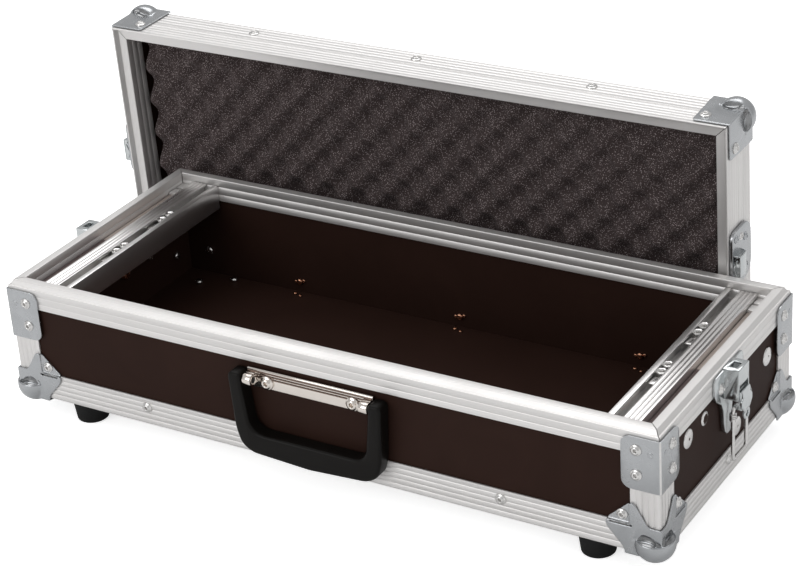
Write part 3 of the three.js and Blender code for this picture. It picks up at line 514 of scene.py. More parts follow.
CORNERS = {"front_left": (-1, -1), "front_right": (1, -1), "back_right": (1, 1), "back_left": (-1, 1)}
HALF_X, HALF_Y = 270, 112.5
BASE = -1.8
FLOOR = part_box("foot_front_left")[0][2] / MM
BALL, BALL_IN, BALL_MOUTH = 14.3, 7.3, 11
LID_RISE, LID_SHIFT, LID_FRONT, LID_LIFT = 42.4, -48.7, 112.3, 0.1
LID_LEAN, LID_YAW = math.radians(1.96), math.radians(0.12)


def corner_matrix(name, lid=False):
    """u, v and w run inwards from the named corner, of the tray or of the lid where it stands."""
    cx, cy = CORNERS[name]
    height, up = (LID_RISE, -1) if lid else (BASE, 1)
    place = Matrix.Translation((cx * HALF_X, cy * HALF_Y, height)) @ Matrix.Diagonal((-cx, -cy, up, 1))
    return LID @ place if lid else place


def lid_matrix():
    """From the lid as it lies closed, lip plane at z = 0, to where it stands on two of its balls."""
    ball_up = (HALF_Y - BALL_IN) * math.cos(LID_LEAN) - (LID_RISE - BALL_IN) * math.sin(LID_LEAN)
    place = Matrix.Translation((LID_SHIFT, LID_FRONT, FLOOR + LID_LIFT + BALL + ball_up))
    return place @ Matrix.Rotation(LID_YAW, 4, "Z") @ Matrix.Rotation(LID_LEAN - math.pi / 2, 4, "X")


LID = lid_matrix()
print("lid stands at", [round(v, 2) for v in LID.translation])

# %% [markdown]
# The foam is convoluted: a flat slab is squeezed between two rollers with fingers and slit, and springs
# open into rows of bumps, each row half a step along from the next. Its height is a product of two
# cosines, so a Geometry Nodes tree can raise a finely divided block by that rule.

# %% Foam lining
FOAM_PITCH = 29.4
FOAM_SIZE = (507.1, 199.3)
FOAM_STEPS = (260, 102)
FOAM_PEAK, FOAM_VALLEY, FOAM_BACK = 15.0, 26.6, 33.5


def finished(tree, source, sink, shape):
    """Ends a tree: the shape is made real, given its finish and put out."""
    real, painted = node(tree, "GeometryNodeRealizeInstances"), node(tree, "GeometryNodeSetMaterial")
    link_nodes(
        tree,
        (shape, 0, real, 0), (real, 0, painted, "Geometry"), (source, "Finish", painted, "Material"),
        (painted, 0, sink, 0),
    )
    return tree


def foam_tree():
    tree, source, sink = new_tree(
        "GeometryNodeTree", "convoluted_foam",
        {"Length": 0.5, "Width": 0.2, "Pitch": 0.03, "Swing": 0.006, "Middle": 0.02, "Finish": "Material"},
        {"Geometry": "Geometry"})
    size = node(tree, "CombineXYZ", {"Z": 0.001})
    cube = node(tree, "GeometryNodeMeshCube", {"Vertices X": FOAM_STEPS[0], "Vertices Y": FOAM_STEPS[1]})
    place, parts = node(tree, "GeometryNodeInputPosition"), node(tree, "SeparateXYZ")

    def worked_out(operation, *values):
        made = node(tree, "Math", operation=operation)
        for i, value in enumerate(values):
            if isinstance(value, tuple):
                link_nodes(tree, (*value, made, i))
            else:
                preset(made, {i: value})
        return made, 0

    turns = worked_out("DIVIDE", 2 * math.pi, (source, "Pitch"))
    waves = [worked_out("COSINE", worked_out("MULTIPLY", (parts, axis), turns)) for axis in "XY"]
    product = worked_out("MULTIPLY", *waves)
    front = worked_out("GREATER_THAN", (parts, "Z"), 0)
    rise = worked_out("MULTIPLY_ADD", product, (source, "Swing"), (source, "Middle"))
    offset, move = node(tree, "CombineXYZ"), node(tree, "GeometryNodeSetPosition")
    link_nodes(
        tree,
        (source, "Length", size, "X"), (source, "Width", size, "Y"), (size, 0, cube, "Size"),
        (place, 0, parts, 0), (*worked_out("MULTIPLY", rise, front), offset, "Z"),
        (cube, "Mesh", move, "Geometry"), (offset, 0, move, "Offset"),
    )
    return finished(tree, source, sink, move)


def grown(tree, values, seed):
    """The plain mesh that a Geometry Nodes tree makes from the seed with these inputs."""
    sockets = {item.name: item.identifier for item in tree.interface.items_tree if item.in_out == "INPUT"}
    inputs = {sockets[label]: value for label, value in values.items()}
    return with_modifiers(seed, ("NODES", {"node_group": tree, **inputs}))


def make_foam():
    depth = FOAM_BACK - (FOAM_PEAK + FOAM_VALLEY) / 2
    sheet = grown(foam_tree(), {
        "Length": FOAM_SIZE[0] * MM, "Width": FOAM_SIZE[1] * MM, "Pitch": FOAM_PITCH * MM,
        "Swing": (FOAM_VALLEY - FOAM_PEAK) / 2 * MM, "Middle": depth * MM, "Finish": MAT["foam"],
    }, bpy.data.meshes.new("seed"))
    sheet.transform(Matrix.Scale(1 / MM, 4))
    face_forward = Matrix.Translation((0, 0, FOAM_BACK)) @ Matrix.Rotation(math.pi, 4, "X")
    foam = piece(sheet, "foam", "foam", "lid", LID @ face_forward, ["foam_lining"], sharp=80)
    print("foam", len(foam.data.polygons), "faces")


make_foam()

# %% [markdown]
# The hardware is held by blind rivets: a flat dome with a small hollow, in which the end of the broken
# stem sits. There are dozens, so one head is turned on a lathe profile, and a tree copies it to listed
# points, stands it along each point's facing and scales it to each point's radius.

# %% Rivets
HEAD_PROFILE = [
    (0, -0.3), (1.0, -0.3), (1.0, 0.08), (0.97, 0.17), (0.88, 0.22), (0.76, 0.26), (0.66, 0.38),
    (0.55, 0.5), (0.42, 0.53), (0.33, 0.5), (0.27, 0.38), (0.25, 0.05), (0, 0.02),
]
BOLT_PROFILE = [
    (0, -0.05), (1, -0.05), (1, 0.05), (0.97, 0.11), (0.9, 0.15), (0.75, 0.195), (0.5, 0.225),
    (0.24, 0.235), (0.19, 0.225), (0.14, 0.2), (0, 0.21),
]
TAIL_PROFILE = [(0, -0.4), (0.75, -0.4), (0.8, 0.1), (1.0, 0.45), (0.95, 0.8), (0.6, 1.05),
                (0.25, 1.0), (0, 0.9)]


def rivet_tree():
    tree, source, sink = new_tree(
        "GeometryNodeTree", "rivet_rows",
        {"Points": "Geometry", "Head": "Object", "Size": "Float", "Finish": "Material"},
        {"Geometry": "Geometry"})
    facing = node(tree, "GeometryNodeInputNamedAttribute", {"Name": "facing"}, data_type="FLOAT_VECTOR")
    radius = node(tree, "GeometryNodeInputNamedAttribute", {"Name": "radius"}, data_type="FLOAT")
    turn = node(tree, "FunctionNodeAlignRotationToVector", axis="Z")
    scale = node(tree, "Math", operation="MULTIPLY")
    head, copies = node(tree, "GeometryNodeObjectInfo"), node(tree, "GeometryNodeInstanceOnPoints")
    link_nodes(
        tree,
        (source, "Points", copies, "Points"), (source, "Head", head, "Object"),
        (head, "Geometry", copies, "Instance"), (facing, 0, turn, "Vector"), (turn, 0, copies, "Rotation"),
        (radius, 0, scale, 0), (source, "Size", scale, 1), (scale, 0, copies, "Scale"),
    )
    return finished(tree, source, sink, copies)


RIVET_TREE = rivet_tree()


def rivets(name, places, head, key, body):
    """places are (point, facing, radius) in millimetres; head is a mesh of radius 1 that faces +Z."""
    points = bpy.data.meshes.new("points")
    points.from_pydata([tuple(p) for p, _, _ in places], [], [])
    for label, kind, values in (("facing", "FLOAT_VECTOR", [c for _, f, _ in places for c in f]),
                                ("radius", "FLOAT", [r for _, _, r in places])):
        layer = points.attributes.new(label, kind, "POINT")
        layer.data.foreach_set("vector" if kind == "FLOAT_VECTOR" else "value", values)
    pattern = bpy.data.objects.new("pattern", head)
    made = grown(RIVET_TREE, {"Head": pattern, "Size": 1.0, "Finish": MAT[key]}, points)
    bpy.data.objects.remove(pattern)
    print(name, len(places), "copies")
    return piece(made, name, key, body, sharp=50)


def at_corner(name, lid=False):
    """Turns a (point, facing, radius) of corner space into one of the frame."""
    matrix = corner_matrix(name, lid)
    turn = matrix.to_3x3()
    return lambda place: (matrix @ Vector(place[0]), (turn @ Vector(place[1])).normalized(), place[2])


RIVET, BRACKET_RIVETS = 4.3, (62.3, 81.3)
EDGE_RIVETS, EDGE_RIVET_Z, LID_RIVET_Z = (-150, 0, 150), 13.0, 30.3
PANEL_X, FITTING_X, LATCH_Y = 268.2, 271.7, -3
LATCH_RIVET_Y, LATCH_RIVET_Z, KEEPER_RIVET_Y, KEEPER_RIVET_Z = 13.75, 78.2, 15, 17.5
HEAD = lathe(HEAD_PROFILE, 28)
BOLT = lathe(BOLT_PROFILE, 40)
TAIL = lathe(TAIL_PROFILE, 16)


def tray_rivet_places():
    places = [((x, -HALF_Y, EDGE_RIVET_Z), -Y, RIVET) for x in EDGE_RIVETS if x]
    places += [((x, HALF_Y, EDGE_RIVET_Z), Y, RIVET) for x in EDGE_RIVETS]
    places += [((s * HALF_X, 0, EDGE_RIVET_Z), X * s, RIVET) for s in (-1, 1)]
    bracket = [((16.4, -1.5, w), -Y, RIVET) for w in BRACKET_RIVETS]
    bracket += [((-1.5, 16.4, w), -X, RIVET) for w in BRACKET_RIVETS]
    ball = [((28, 0.2, 28), -Y, RIVET), ((0.2, 28, 28), -X, RIVET), ((28, 28, 0.2), -Z, RIVET)]
    for name in CORNERS:
        places += [at_corner(name)(place) for place in bracket + ball]
    for s in (-1, 1):
        places += [((s * FITTING_X, LATCH_Y + side * LATCH_RIVET_Y, LATCH_RIVET_Z), X * s, RIVET)
                   for side in (-1, 1)]
    return places


def bolt_places():
    spots = [(-64.6, 64.5, 7.15), (72.4, 57.3, 7.15), (17.6, 29.6, 7.15), (-37.4, 65.5, 5.35)]
    return [((s * PANEL_X, y, z), X * s, radius) for s in (-1, 1) for y, z, radius in spots]


def lid_rivet_places():
    turn = LID.to_3x3()
    places = [(LID @ Vector((x, y, LID_RIVET_Z)), turn @ (Y if y > 0 else -Y), RIVET)
              for x in EDGE_RIVETS for y in (-HALF_Y, HALF_Y)]
    corner = [((21, -1.6, 30.8), -Y, RIVET), ((-1.6, 21, 30.8), -X, RIVET)]
    for name in CORNERS:
        places += [at_corner(name, lid=True)(place) for place in corner]
    for s in (-1, 1):
        spots = [(s * FITTING_X, LATCH_Y + side * KEEPER_RIVET_Y, KEEPER_RIVET_Z) for side in (-1, 1)]
        places += [(LID @ Vector(spot), turn @ (X * s), RIVET) for spot in spots]
    return places


rivets("tray_rivets", tray_rivet_places(), HEAD, "rivet", "tray")
rivets("side_bolts", bolt_places(), BOLT, "rivet", "tray")
rivets("lid_rivets", lid_rivet_places(), HEAD, "rivet", "lid")

# %% [markdown]
# The case's edging is pressed through a die, so each bar is one section drawn out along its length.
# In a section a runs in from the case's outer face and b upwards. Its grooves are soft dips and its
# corners are eased, which is what makes worn aluminium shine in thin lines instead of hard steps.

# %% Extruded edging
def eased(points, steps=4):
    """An outline whose corners are eased by the length that a point gives as its third value."""
    made = []
    for i, (x, y, *reach) in enumerate(points):
        here = Vector((x, y))
        before = Vector(points[i - 1][:2]) - here
        after = Vector(points[(i + 1) % len(points)][:2]) - here
        size = min(reach[0] if reach else 0, 0.45 * before.length, 0.45 * after.length)
        if size <= 0:
            made.append((x, y))
            continue
        start, end = here + before.normalized() * size, here + after.normalized() * size
        for k in range(steps + 1):
            t = k / steps
            point = start * (1 - t) ** 2 + here * 2 * t * (1 - t) + end * t * t
            made.append(tuple(point))
    return made


GROOVE_WIDTH, GROOVE_DEPTH = 0.9, 0.26
GROOVE_DIP = [(-0.5, 0), (-0.28, 0.5), (0, 1), (0.28, 0.5), (0.5, 0)]
WALL, LEG, SEAT = 1.5, 22, 0.3
RIM_WIDTH, TONGUE, RECESS = 10.1, 3.8, 4.1
LEG_SHARES, TRAY_SHARES = (0.22, 0.42, 0.62, 0.82), (0.34, 0.7)
LID_SHARES, INNER_SHARES = (0.2, 0.4, 0.6, 0.8), (0.35, 0.7)
TRAY_FLANGE, LID_FLANGE, INNER_FLANGE = 16.4, 20, 19.5
RIM_SHOULDER = 91.7


def dips(length, shares, at):
    return [at(length * share + across * GROOVE_WIDTH, down * GROOVE_DEPTH)
            for share in shares for across, down in GROOVE_DIP]


def angle_section():
    down = dips(LEG, LEG_SHARES, lambda t, d: (d, t))
    return eased([
        (LEG, 0, 0.4), (LEG, WALL, 0.3), (WALL, WALL, 0.6), (WALL, LEG, 0.3), (0, LEG, 0.4),
        *reversed(down), (0, 0, 1.3), *dips(LEG, LEG_SHARES, lambda t, d: (t, d)),
    ])


def tray_rim_section():
    foot, head, flat = 1.5, 3.5, TONGUE - WALL
    inner = dips(INNER_FLANGE, INNER_SHARES, lambda t, d: (RIM_WIDTH - d, TONGUE - t))
    return eased([
        (0, 0, 0.5), *dips(TRAY_FLANGE, TRAY_SHARES, lambda t, d: (d, -t)), (0, -TRAY_FLANGE, 0.4),
        (WALL, -TRAY_FLANGE, 0.3), (WALL, -WALL), (foot + WALL / 2, -WALL / 2), (head + WALL / 2, flat),
        (RIM_WIDTH - WALL, flat), (RIM_WIDTH - WALL, TONGUE - INNER_FLANGE, 0.3),
        (RIM_WIDTH, TONGUE - INNER_FLANGE, 0.4), *reversed(inner), (RIM_WIDTH, TONGUE, 0.8),
        (head, TONGUE, 0.5), (foot, 0, 0.3),
    ])


def lid_rim_section():
    lip, head, top = 1.2, 3.2, RECESS + INNER_FLANGE
    outer = dips(LID_FLANGE, LID_SHARES, lambda t, d: (d, t))
    return eased([
        (0, 0, 0.4), (lip, 0, 0.3), (head, RECESS, 0.4), (RIM_WIDTH, RECESS, 0.8),
        *dips(INNER_FLANGE, INNER_SHARES, lambda t, d: (RIM_WIDTH - d, RECESS + t)),
        (RIM_WIDTH, top, 0.4), (RIM_WIDTH - WALL, top, 0.3), (RIM_WIDTH - WALL, RECESS + WALL),
        (head, RECESS + WALL), (WALL, RECESS), (WALL, LID_FLANGE, 0.3), (0, LID_FLANGE, 0.4),
        *reversed(outer),
    ])


def side_bar(section, side, trim, slant):
    """A bar along the front, turned to one of the four sides; slant is 1 for mitred ends."""
    half, away = (HALF_Y, HALF_X) if side % 2 else (HALF_X, HALF_Y)
    bm = bmesh.new()
    ends = [[bm.verts.new((s * (half - trim - slant * a), a - away, b)) for a, b in section]
            for s in (-1, 1)]
    mesh = closed(bm, *ends)
    mesh.transform(Matrix.Rotation(side * math.pi / 2, 4, "Z"))
    return mesh


def make_edging():
    angle, tray_rim, lid_rim = angle_section(), tray_rim_section(), lid_rim_section()
    lid_top = LID @ Matrix.Translation((0, 0, LID_RISE)) @ Matrix.Diagonal((1, 1, -1, 1))
    runs = [
        ("bottom_edge", angle, LEG + SEAT, 0, Matrix.Translation((0, 0, BASE)), "tray"),
        ("rim", tray_rim, 0.4, 1, Matrix.Translation((0, 0, RIM_SHOULDER)), "tray"),
        ("lid_edge", angle, LEG + SEAT, 0, lid_top, "lid"),
        ("lid_rim", lid_rim, 0.3, 1, LID, "lid"),
    ]
    for run, section, trim, slant, place, body in runs:
        for side, name in enumerate(("front", "right", "back", "left")):
            node_name = f"{run}_{name}"
            bar = side_bar(section, side, trim, slant)
            piece(bar, node_name + "_bar", aluminium_for(node_name), body, place, [node_name])
    height = RIM_SHOULDER - BASE - TRAY_FLANGE - SEAT - (LEG + SEAT)
    post = plate(angle, height, X, Y, Vector((0, 0, LEG + SEAT)))
    for name in CORNERS:
        piece(post, f"post_{name}", "aluminium_z", "tray",
              corner_matrix(name), ["corner_edge_" + name])
    print("edging: 16 bars and 4 posts,", len(angle), "points in the angle's section")


make_edging()

# %% [markdown]
# The ball corners are one pressing: a hollow ball in three plates. They are drawn as sharp solids
# first, with a shallow bowl on the two upright plates where the ball's mouth opens. Then a fine remesh
# and a few passes of smoothing round every edge the way that a press rounds sheet metal. A bright
# plated disc low in the mouth is a painted reflection, so the hollow shows pale instead of dark.

# %% Ball corners
PLATE, EAR = 1.3, 40
POCKET = 2.2
DISH_MIDDLE, DISH_REACH, DISH_DEPTH = (11.0, 11.0, 11.3), (8.0, 8.0, 4.8), 2.6
SLIT_LOW, SLIT_HIGH, SLIT_END = 20.4, 21.6, 37
EAR_SHARES = [
    (0, 0, 0), (0.65, 0, 1), (0.672, 0.08, 2), (0.96, 0.4, 3), (1, 0.49, 2.5), (0.97, 0.585, 2.5),
    (0.575, 0.95, 2.5), (0.5, 0.985, 2.5), (0.44, 0.94, 2.5), (0.23, 0.6, 2), (0.17, 0.565, 2),
    (0, 0.565, 1),
]
FACES = [(X, Z, 1), (Y, Z, 0), (X, Y, 2)]
PRESSING = (
    ("REMESH", {"mode": "VOXEL", "voxel_size": 0.5}),
    ("SMOOTH", {"factor": 0.5, "iterations": 5}),
    ("DECIMATE", {"ratio": 0.45}),
)


def face_plate(outline, low, thick, face):
    """A plate on one of the corner's three faces, low along the way into the case."""
    across, up, axis = face
    origin = Vector((0, 0, 0))
    origin[axis] = low + thick if axis == 1 else low
    return plate(outline, thick, across, up, origin)


def cup_and_tip():
    """The open ball, and what sharp plates have outside it at the very corner."""
    far, out = 50, -SEAT - PLATE
    centre = (BALL_IN,) * 3
    pocket = box_mesh((-far,) * 3, (far, far, BALL_MOUTH - POCKET))
    cutters = [
        solid_sum(ball_mesh(BALL - 1, centre), [pocket], "DIFFERENCE"),
        box_mesh((WALL,) * 3, (far,) * 3),
        box_mesh((LEG, -SEAT, -SEAT), (far,) * 3),
        box_mesh((-SEAT, LEG, -SEAT), (far,) * 3),
        box_mesh((-SEAT, -SEAT, LEG), (far,) * 3),
        box_mesh((-far, -far, BALL_MOUTH), (far, out, far)),
        box_mesh((-far, -far, BALL_MOUTH), (out, far, far)),
    ]
    cup = solid_sum(ball_mesh(BALL, centre), cutters, "DIFFERENCE")
    tip = solid_sum(box_mesh((-far,) * 3, centre), [ball_mesh(BALL - 0.3, centre)], "DIFFERENCE")
    return cup, tip


def dish_mesh(axis, grow):
    """A shallow bowl that widens the mouth on one upright plate."""
    middle, reach = list(DISH_MIDDLE), [half + grow for half in DISH_REACH]
    middle[axis], reach[axis] = -SEAT - PLATE, DISH_DEPTH + grow
    bowl = ball_mesh(1, (0, 0, 0), 40, 20)
    bowl.transform(Matrix.Translation(middle) @ Matrix.Diagonal((*reach, 1)))
    return bowl


def with_ball(plates):
    cup, tip = cup_and_tip()
    plates = solid_sum(plates, [tip], "DIFFERENCE")
    edge = -SEAT - PLATE
    outside = [box_mesh((-EAR,) * 3, high) for high in ((edge, EAR, EAR), (EAR, edge, EAR))]
    bowls = [solid_sum(dish_mesh(axis, 0.8), [outside[axis]], "DIFFERENCE") for axis in (0, 1)]
    plates = solid_sum(plates, bowls, "UNION")
    plates = solid_sum(plates, [dish_mesh(axis, 0) for axis in (0, 1)], "DIFFERENCE")
    return with_modifiers(solid_sum(plates, [cup], "UNION"), *PRESSING)


def tray_corner_mesh():
    edge = -SEAT - PLATE
    outline = eased([(u * EAR or edge, v * EAR or edge, r) for u, v, r in EAR_SHARES], 6)
    sunk, lift, far = 0.2, LEG + SEAT, EAR + 3
    shells = []
    for face in FACES:
        axis = face[2]

        def block(inset, low, high):
            corners = [inset] * 3, [far] * 3
            corners[0][axis], corners[1][axis] = low, high
            return box_mesh(*corners)

        flat = face_plate(outline, edge, PLATE, face)
        deep = face_plate(outline, edge, sunk + PLATE - edge, face)
        ear = solid_sum(deep, [block(lift - PLATE, edge - 1, sunk + PLATE + 1)], "INTERSECT")
        shell = solid_sum(flat, [ear], "UNION")
        slit, end = [SLIT_LOW] * 3, [SLIT_END] * 3
        end[1 if axis == 2 else 2] = SLIT_HIGH
        slit[axis], end[axis] = edge - 1, sunk + 3
        shells.append(solid_sum(shell, [block(lift, edge - 3, sunk), box_mesh(slit, end)], "DIFFERENCE"))
    return with_ball(solid_sum(shells[0], shells[1:], "UNION"))


def lid_corner_mesh():
    edge = -SEAT - PLATE
    side = eased([(edge, edge), (29, edge, 1), (27.5, 40.2, 2.5), (edge, 40.2, 1)], 5)
    top = eased([(edge, edge), (29, edge, 2), (edge, 29, 2)], 5)
    shells = [face_plate(outline, edge, PLATE, face) for outline, face in zip((side, side, top), FACES)]
    return with_ball(solid_sum(shells[0], shells[1:], "UNION"))


def mouth_reflection_mesh():
    """A painted reflection: a bright disc low in a ball's mouth, on the two outer sides of the corner."""
    height = BALL_MOUTH - POCKET + 0.1
    disc = lathe([(0, 0), (12.9, 0), (13, 0.9), (12, 0.3), (0, 0.3)], 40,
                 Matrix.Translation((BALL_IN, BALL_IN, height)))
    return solid_sum(disc, [box_mesh((-SEAT,) * 3, (40, 40, 40))], "DIFFERENCE")


def make_ball_corners():
    tray_mesh, lid_mesh, mouth = tray_corner_mesh(), lid_corner_mesh(), mouth_reflection_mesh()
    for name in CORNERS:
        low, high = corner_matrix(name), corner_matrix(name, lid=True)
        piece(tray_mesh, f"ball_{name}", "zinc", "tray", low, ["ball_corner_" + name], sharp=60)
        piece(lid_mesh, f"lid_ball_{name}", "zinc", "lid", high, ["lid_ball_corner_" + name],
              sharp=60)
        # The plated disc in each mouth is a painted reflection of the bright surroundings.
        piece(mouth, f"mouth_{name}", "rivet", "tray", low, sharp=60)
        piece(mouth, f"lid_mouth_{name}", "rivet", "lid", high, sharp=60)
    print("ball corners:", len(tray_mesh.polygons), "and", len(lid_mesh.polygons), "faces each")


make_ball_corners()

# %% [markdown]
# A flat bracket is bent over each upright corner. It is drawn as a strip of sheet that is straight,
# goes round the bend and runs straight again, with the height of its rounded ends worked out for
# every step along it. A small pressed dimple marks each half, and a strip of brighter plated metal
# along the bend is a painted highlight.

# %% Corner brackets
BRACKET_FOOT, BRACKET_TOP, BRACKET_REACH, BRACKET_ROUND = 50.6, 91, 27.5, 7
BRACKET_WALL = 1.2


def bracket_mesh():
    out = -SEAT - BRACKET_WALL / 2
    bend = 1.1
    steps = [BRACKET_REACH - BRACKET_ROUND * (1 - math.cos(k * math.pi / 16)) for k in range(8)]
    steps = sorted({round(v, 4) for v in steps + [BRACKET_REACH - BRACKET_ROUND, 10, 4, out + bend]},
                   reverse=True)

    def ends(reach):
        past = max(0, reach - (BRACKET_REACH - BRACKET_ROUND))
        rise = BRACKET_ROUND - math.sqrt(max(BRACKET_ROUND ** 2 - past ** 2, 0))
        return BRACKET_FOOT + rise, BRACKET_TOP - rise

    path = [((reach, out), ends(reach)) for reach in steps]
    for k in range(1, 6):
        turn = k * math.pi / 12
        point = (out + bend - bend * math.sin(turn), out + bend - bend * math.cos(turn))
        path.append((point, ends(0)))
    path += [((out, reach), ends(reach)) for reach in reversed(steps)]
    bm = bmesh.new()
    columns = [[bm.verts.new((u, v, w)) for w in heights] for (u, v), heights in path]
    for one, two in zip(columns, columns[1:]):
        bm.faces.new((one[0], two[0], two[1], one[1]))
    return with_modifiers(
        mesh_from(bm),
        ("SOLIDIFY", {"thickness": BRACKET_WALL, "offset": 0}),
        ("BEVEL", {"width": 0.25, "segments": 2, "angle_limit": math.radians(50)}),
    )


def bend_highlight_mesh():
    """A painted highlight: a strip of brighter metal along the bend."""
    out, turns = -SEAT - BRACKET_WALL - 0.04, [math.radians(20 + 10 * k) for k in range(6)]
    arc = [(1.7 - 1.7 * math.sin(t), 1.7 - 1.7 * math.cos(t)) for t in turns]
    outline = [(out + a, out + b) for a, b in arc] + [(out + 1, out + 1)]
    return plate(outline, BRACKET_TOP - BRACKET_FOOT - 0.6, X, Y, Vector((0, 0, BRACKET_FOOT + 0.3)))


def make_brackets():
    mesh = bracket_mesh()
    bend = bend_highlight_mesh()
    dimple = lathe([(0, -0.2), (2.3, -0.2), (2.2, 0.05), (1.9, 0.28), (1.5, 0.34), (1.1, 0.1),
                    (0, -0.02)], 24)
    marks = [(dimple, Matrix.Translation(spot) @ facing.to_track_quat("Z", "Y").to_matrix().to_4x4())
             for spot, facing in (((5.8, -1.5, 79.7), -Y), ((-1.5, 5.8, 79.7), -X))]
    marked = placed_copies((mesh, Matrix()), *marks)
    for name in CORNERS:
        place = corner_matrix(name)
        piece(marked, f"bracket_{name}", "zinc", "tray", place, ["corner_bracket_" + name],
              sharp=40)
        # The bright strip over the bend is a painted highlight, in the plated rivet finish.
        piece(bend, f"bracket_bend_{name}", "rivet", "tray", place)
    print("brackets:", len(mesh.polygons), "faces each")


make_brackets()

# %% [markdown]
# The handle plate is a strip with a rolled top edge, where three ribs, darkened with painted shade,
# let bright lines of the plate show between them. A knuckle bulges from each end of it. The grip is
# moulded: a smooth outline that is given a thickness, with a wide round edge on the side that the
# fingers pull.

# %% Handle
HANDLE_AXIS = Vector((0, -118.5, 64.2))
HANDLE_REACH, KNUCKLE, KNUCKLE_LONG = 52.4, 4.6, 7.5
PLATE_BACK, PLATE_LOW, RIB_LOW = -111, 56.2, 8.2
RIB_COUNT, RIB_PITCH = 3, 2.1
GRIP_THICK, GRIP_EDGE, GRIP_PIN_AT = 11.4, 2.8, 51.8
HANDLE_RIVET, HANDLE_RIVET_X, HANDLE_RIVET_Z = 5.6, 36, 61.9


def turned_along_x(profile, centre):
    """A lathe body about an axis along x; the profile's heights are places along x."""
    mesh = lathe(profile, 36, Matrix.Rotation(math.pi / 2, 4, "Y"))
    mesh.transform(Matrix.Translation(centre))
    return mesh


def rib_mesh():
    """The ribs over the rolled top edge of the plate, darkened with painted shade."""
    ribs = [(2, RIB_LOW)]
    for k in range(RIB_COUNT):
        low = RIB_LOW + k * RIB_PITCH
        ribs += [(2.5, low, 0.2), (3.75, low + 0.2, 0.2), (3.75, low + 1, 0.3), (2.5, low + 1.3, 0.2)]
    section = eased([*ribs, (2.5, 14.7, 0.6), (2, 14)], 3)
    return plate([(-a, b) for a, b in section], 2 * HANDLE_REACH - 1, Y, Z,
                 Vector((0.5 - HANDLE_REACH, PLATE_BACK, PLATE_LOW)))


def handle_plate_mesh():
    section = eased([(0, 0, 0.3), (2.9, 0, 1), (3.5, 0.9, 0.4), (3.5, RIB_LOW, 0.3), (3, 9, 0.3),
                     (3, 14.2, 0.8), (2.2, 15, 1), (0.6, 15, 1), (0, 14, 0.6)], 3)
    strip = plate([(-a, b) for a, b in section], 2 * HANDLE_REACH, Y, Z,
                  Vector((-HANDLE_REACH, PLATE_BACK, PLATE_LOW)))
    parts = [softened(strip, 0.25)]
    for side in (-1, 1):
        middle = side * (HANDLE_REACH - KNUCKLE_LONG / 2)
        half = KNUCKLE_LONG / 2
        end = [(0, 0.6), (2.3, 0.5), (2.8, 0), (KNUCKLE - 0.9, 0), (KNUCKLE - 0.25, 0.35), (KNUCKLE, 1)]
        profile = [(radius, rise - half) for radius, rise in end]
        profile += [(radius, half - rise) for radius, rise in reversed(end)]
        parts.append(turned_along_x(profile, HANDLE_AXIS + X * middle))
        web = eased([(PLATE_BACK, 60.2), (-117, 60.2, 1), (-118.6, 64, 1), (-117, 68.4, 1),
                     (PLATE_BACK, 69)], 4)
        parts.append(softened(plate(web, KNUCKLE_LONG - 0.8, Y, Z,
                                    Vector((middle - half + 0.4, 0, 0))), 0.3))
    return together(*parts)


def front_rounded(mesh, width):
    """Rounds only the edges of the face that points out of the case."""
    front = min(v.co.y for v in mesh.vertices) + 0.1
    weights = mesh.attributes.new("bevel_weight_edge", "FLOAT", "EDGE")
    for edge, weight in zip(mesh.edges, weights.data):
        weight.value = all(mesh.vertices[v].co.y < front for v in edge.vertices)
    return with_modifiers(mesh, ("BEVEL", {"width": width, "segments": 6, "limit_method": "WEIGHT"}))


def grip_mesh():
    half = [(0, -61.8), (48.5, -59, 15), (57.6, -53.2, 7), (61.4, -41, 8), (64.2, 5.7, 5.2), (53.2, 5.7, 4),
            (53.2, -2, 6), (48.3, -42.3, 12)]
    other = [(-a, b, *rest) for a, b, *rest in reversed(half[1:])]
    body = plate(eased(half + other, 8), GRIP_THICK, X, Z, Vector((0, GRIP_THICK / 2, 0)))
    pin = [(0, -7), (2.2, -7), (2.2, 7), (0, 7)]
    pins = [turned_along_x(pin, X * side * GRIP_PIN_AT) for side in (-1, 1)]
    return together(front_rounded(body, GRIP_EDGE), *pins)


def make_handle():
    piece(handle_plate_mesh(), "handle_strip", "nickel", "tray", hides=["handle_plate"], sharp=40)
    # The ribs' dark finish is painted shade on the same nickel as the strip.
    piece(rib_mesh(), "handle_ribs", "rib", "tray", sharp=50)
    places = [((side * HANDLE_RIVET_X, -114.5, HANDLE_RIVET_Z), -Y, HANDLE_RIVET) for side in (-1, 1)]
    rivets("handle_rivets", places, HEAD, "nickel", "tray")
    grip = grip_mesh()
    piece(grip, "grip", "grip", "handle", Matrix.Translation(HANDLE_AXIS), ["handle_grip"],
          sharp=60)
    print("grip", len(grip.polygons), "faces")


make_handle()

# %% [markdown]
# Each latch has a pressed plate with a hood, a lever that turns on the hood's pin, and a wire bail
# that hangs from the lever. The plate's solid is right as it is and only needs softer edges. The
# lever gets its chamfered wings, its cheeks and its ring, and the bail becomes round wire with a few
# wound turns at one end. The keeper on the lid is a flat riveted seat and a square pocket, drawn in
# the place near the lip where the photo shows it.

# %% Latches
PIN_OUT, PIN_Z, PIN_HALF, PIN_HEAD_AT = 9.5, 72.2, 9.6, 9.3
HOOK_DROP = 9
POCKET_ALONG = 3.6
LEVER_OUT, LEVER_THICK = 3.65, 2.1
BAIL_WIRE, RING_WIRE, COIL_WIRE = 1.4, 1.1, 0.62
COIL_POINTS, COIL_AROUND, COIL_RADIUS, COIL_TOP, COIL_STEP = 61, 16, 2.05, -3.4, 0.085
LEVER_SLOPE = 0.38


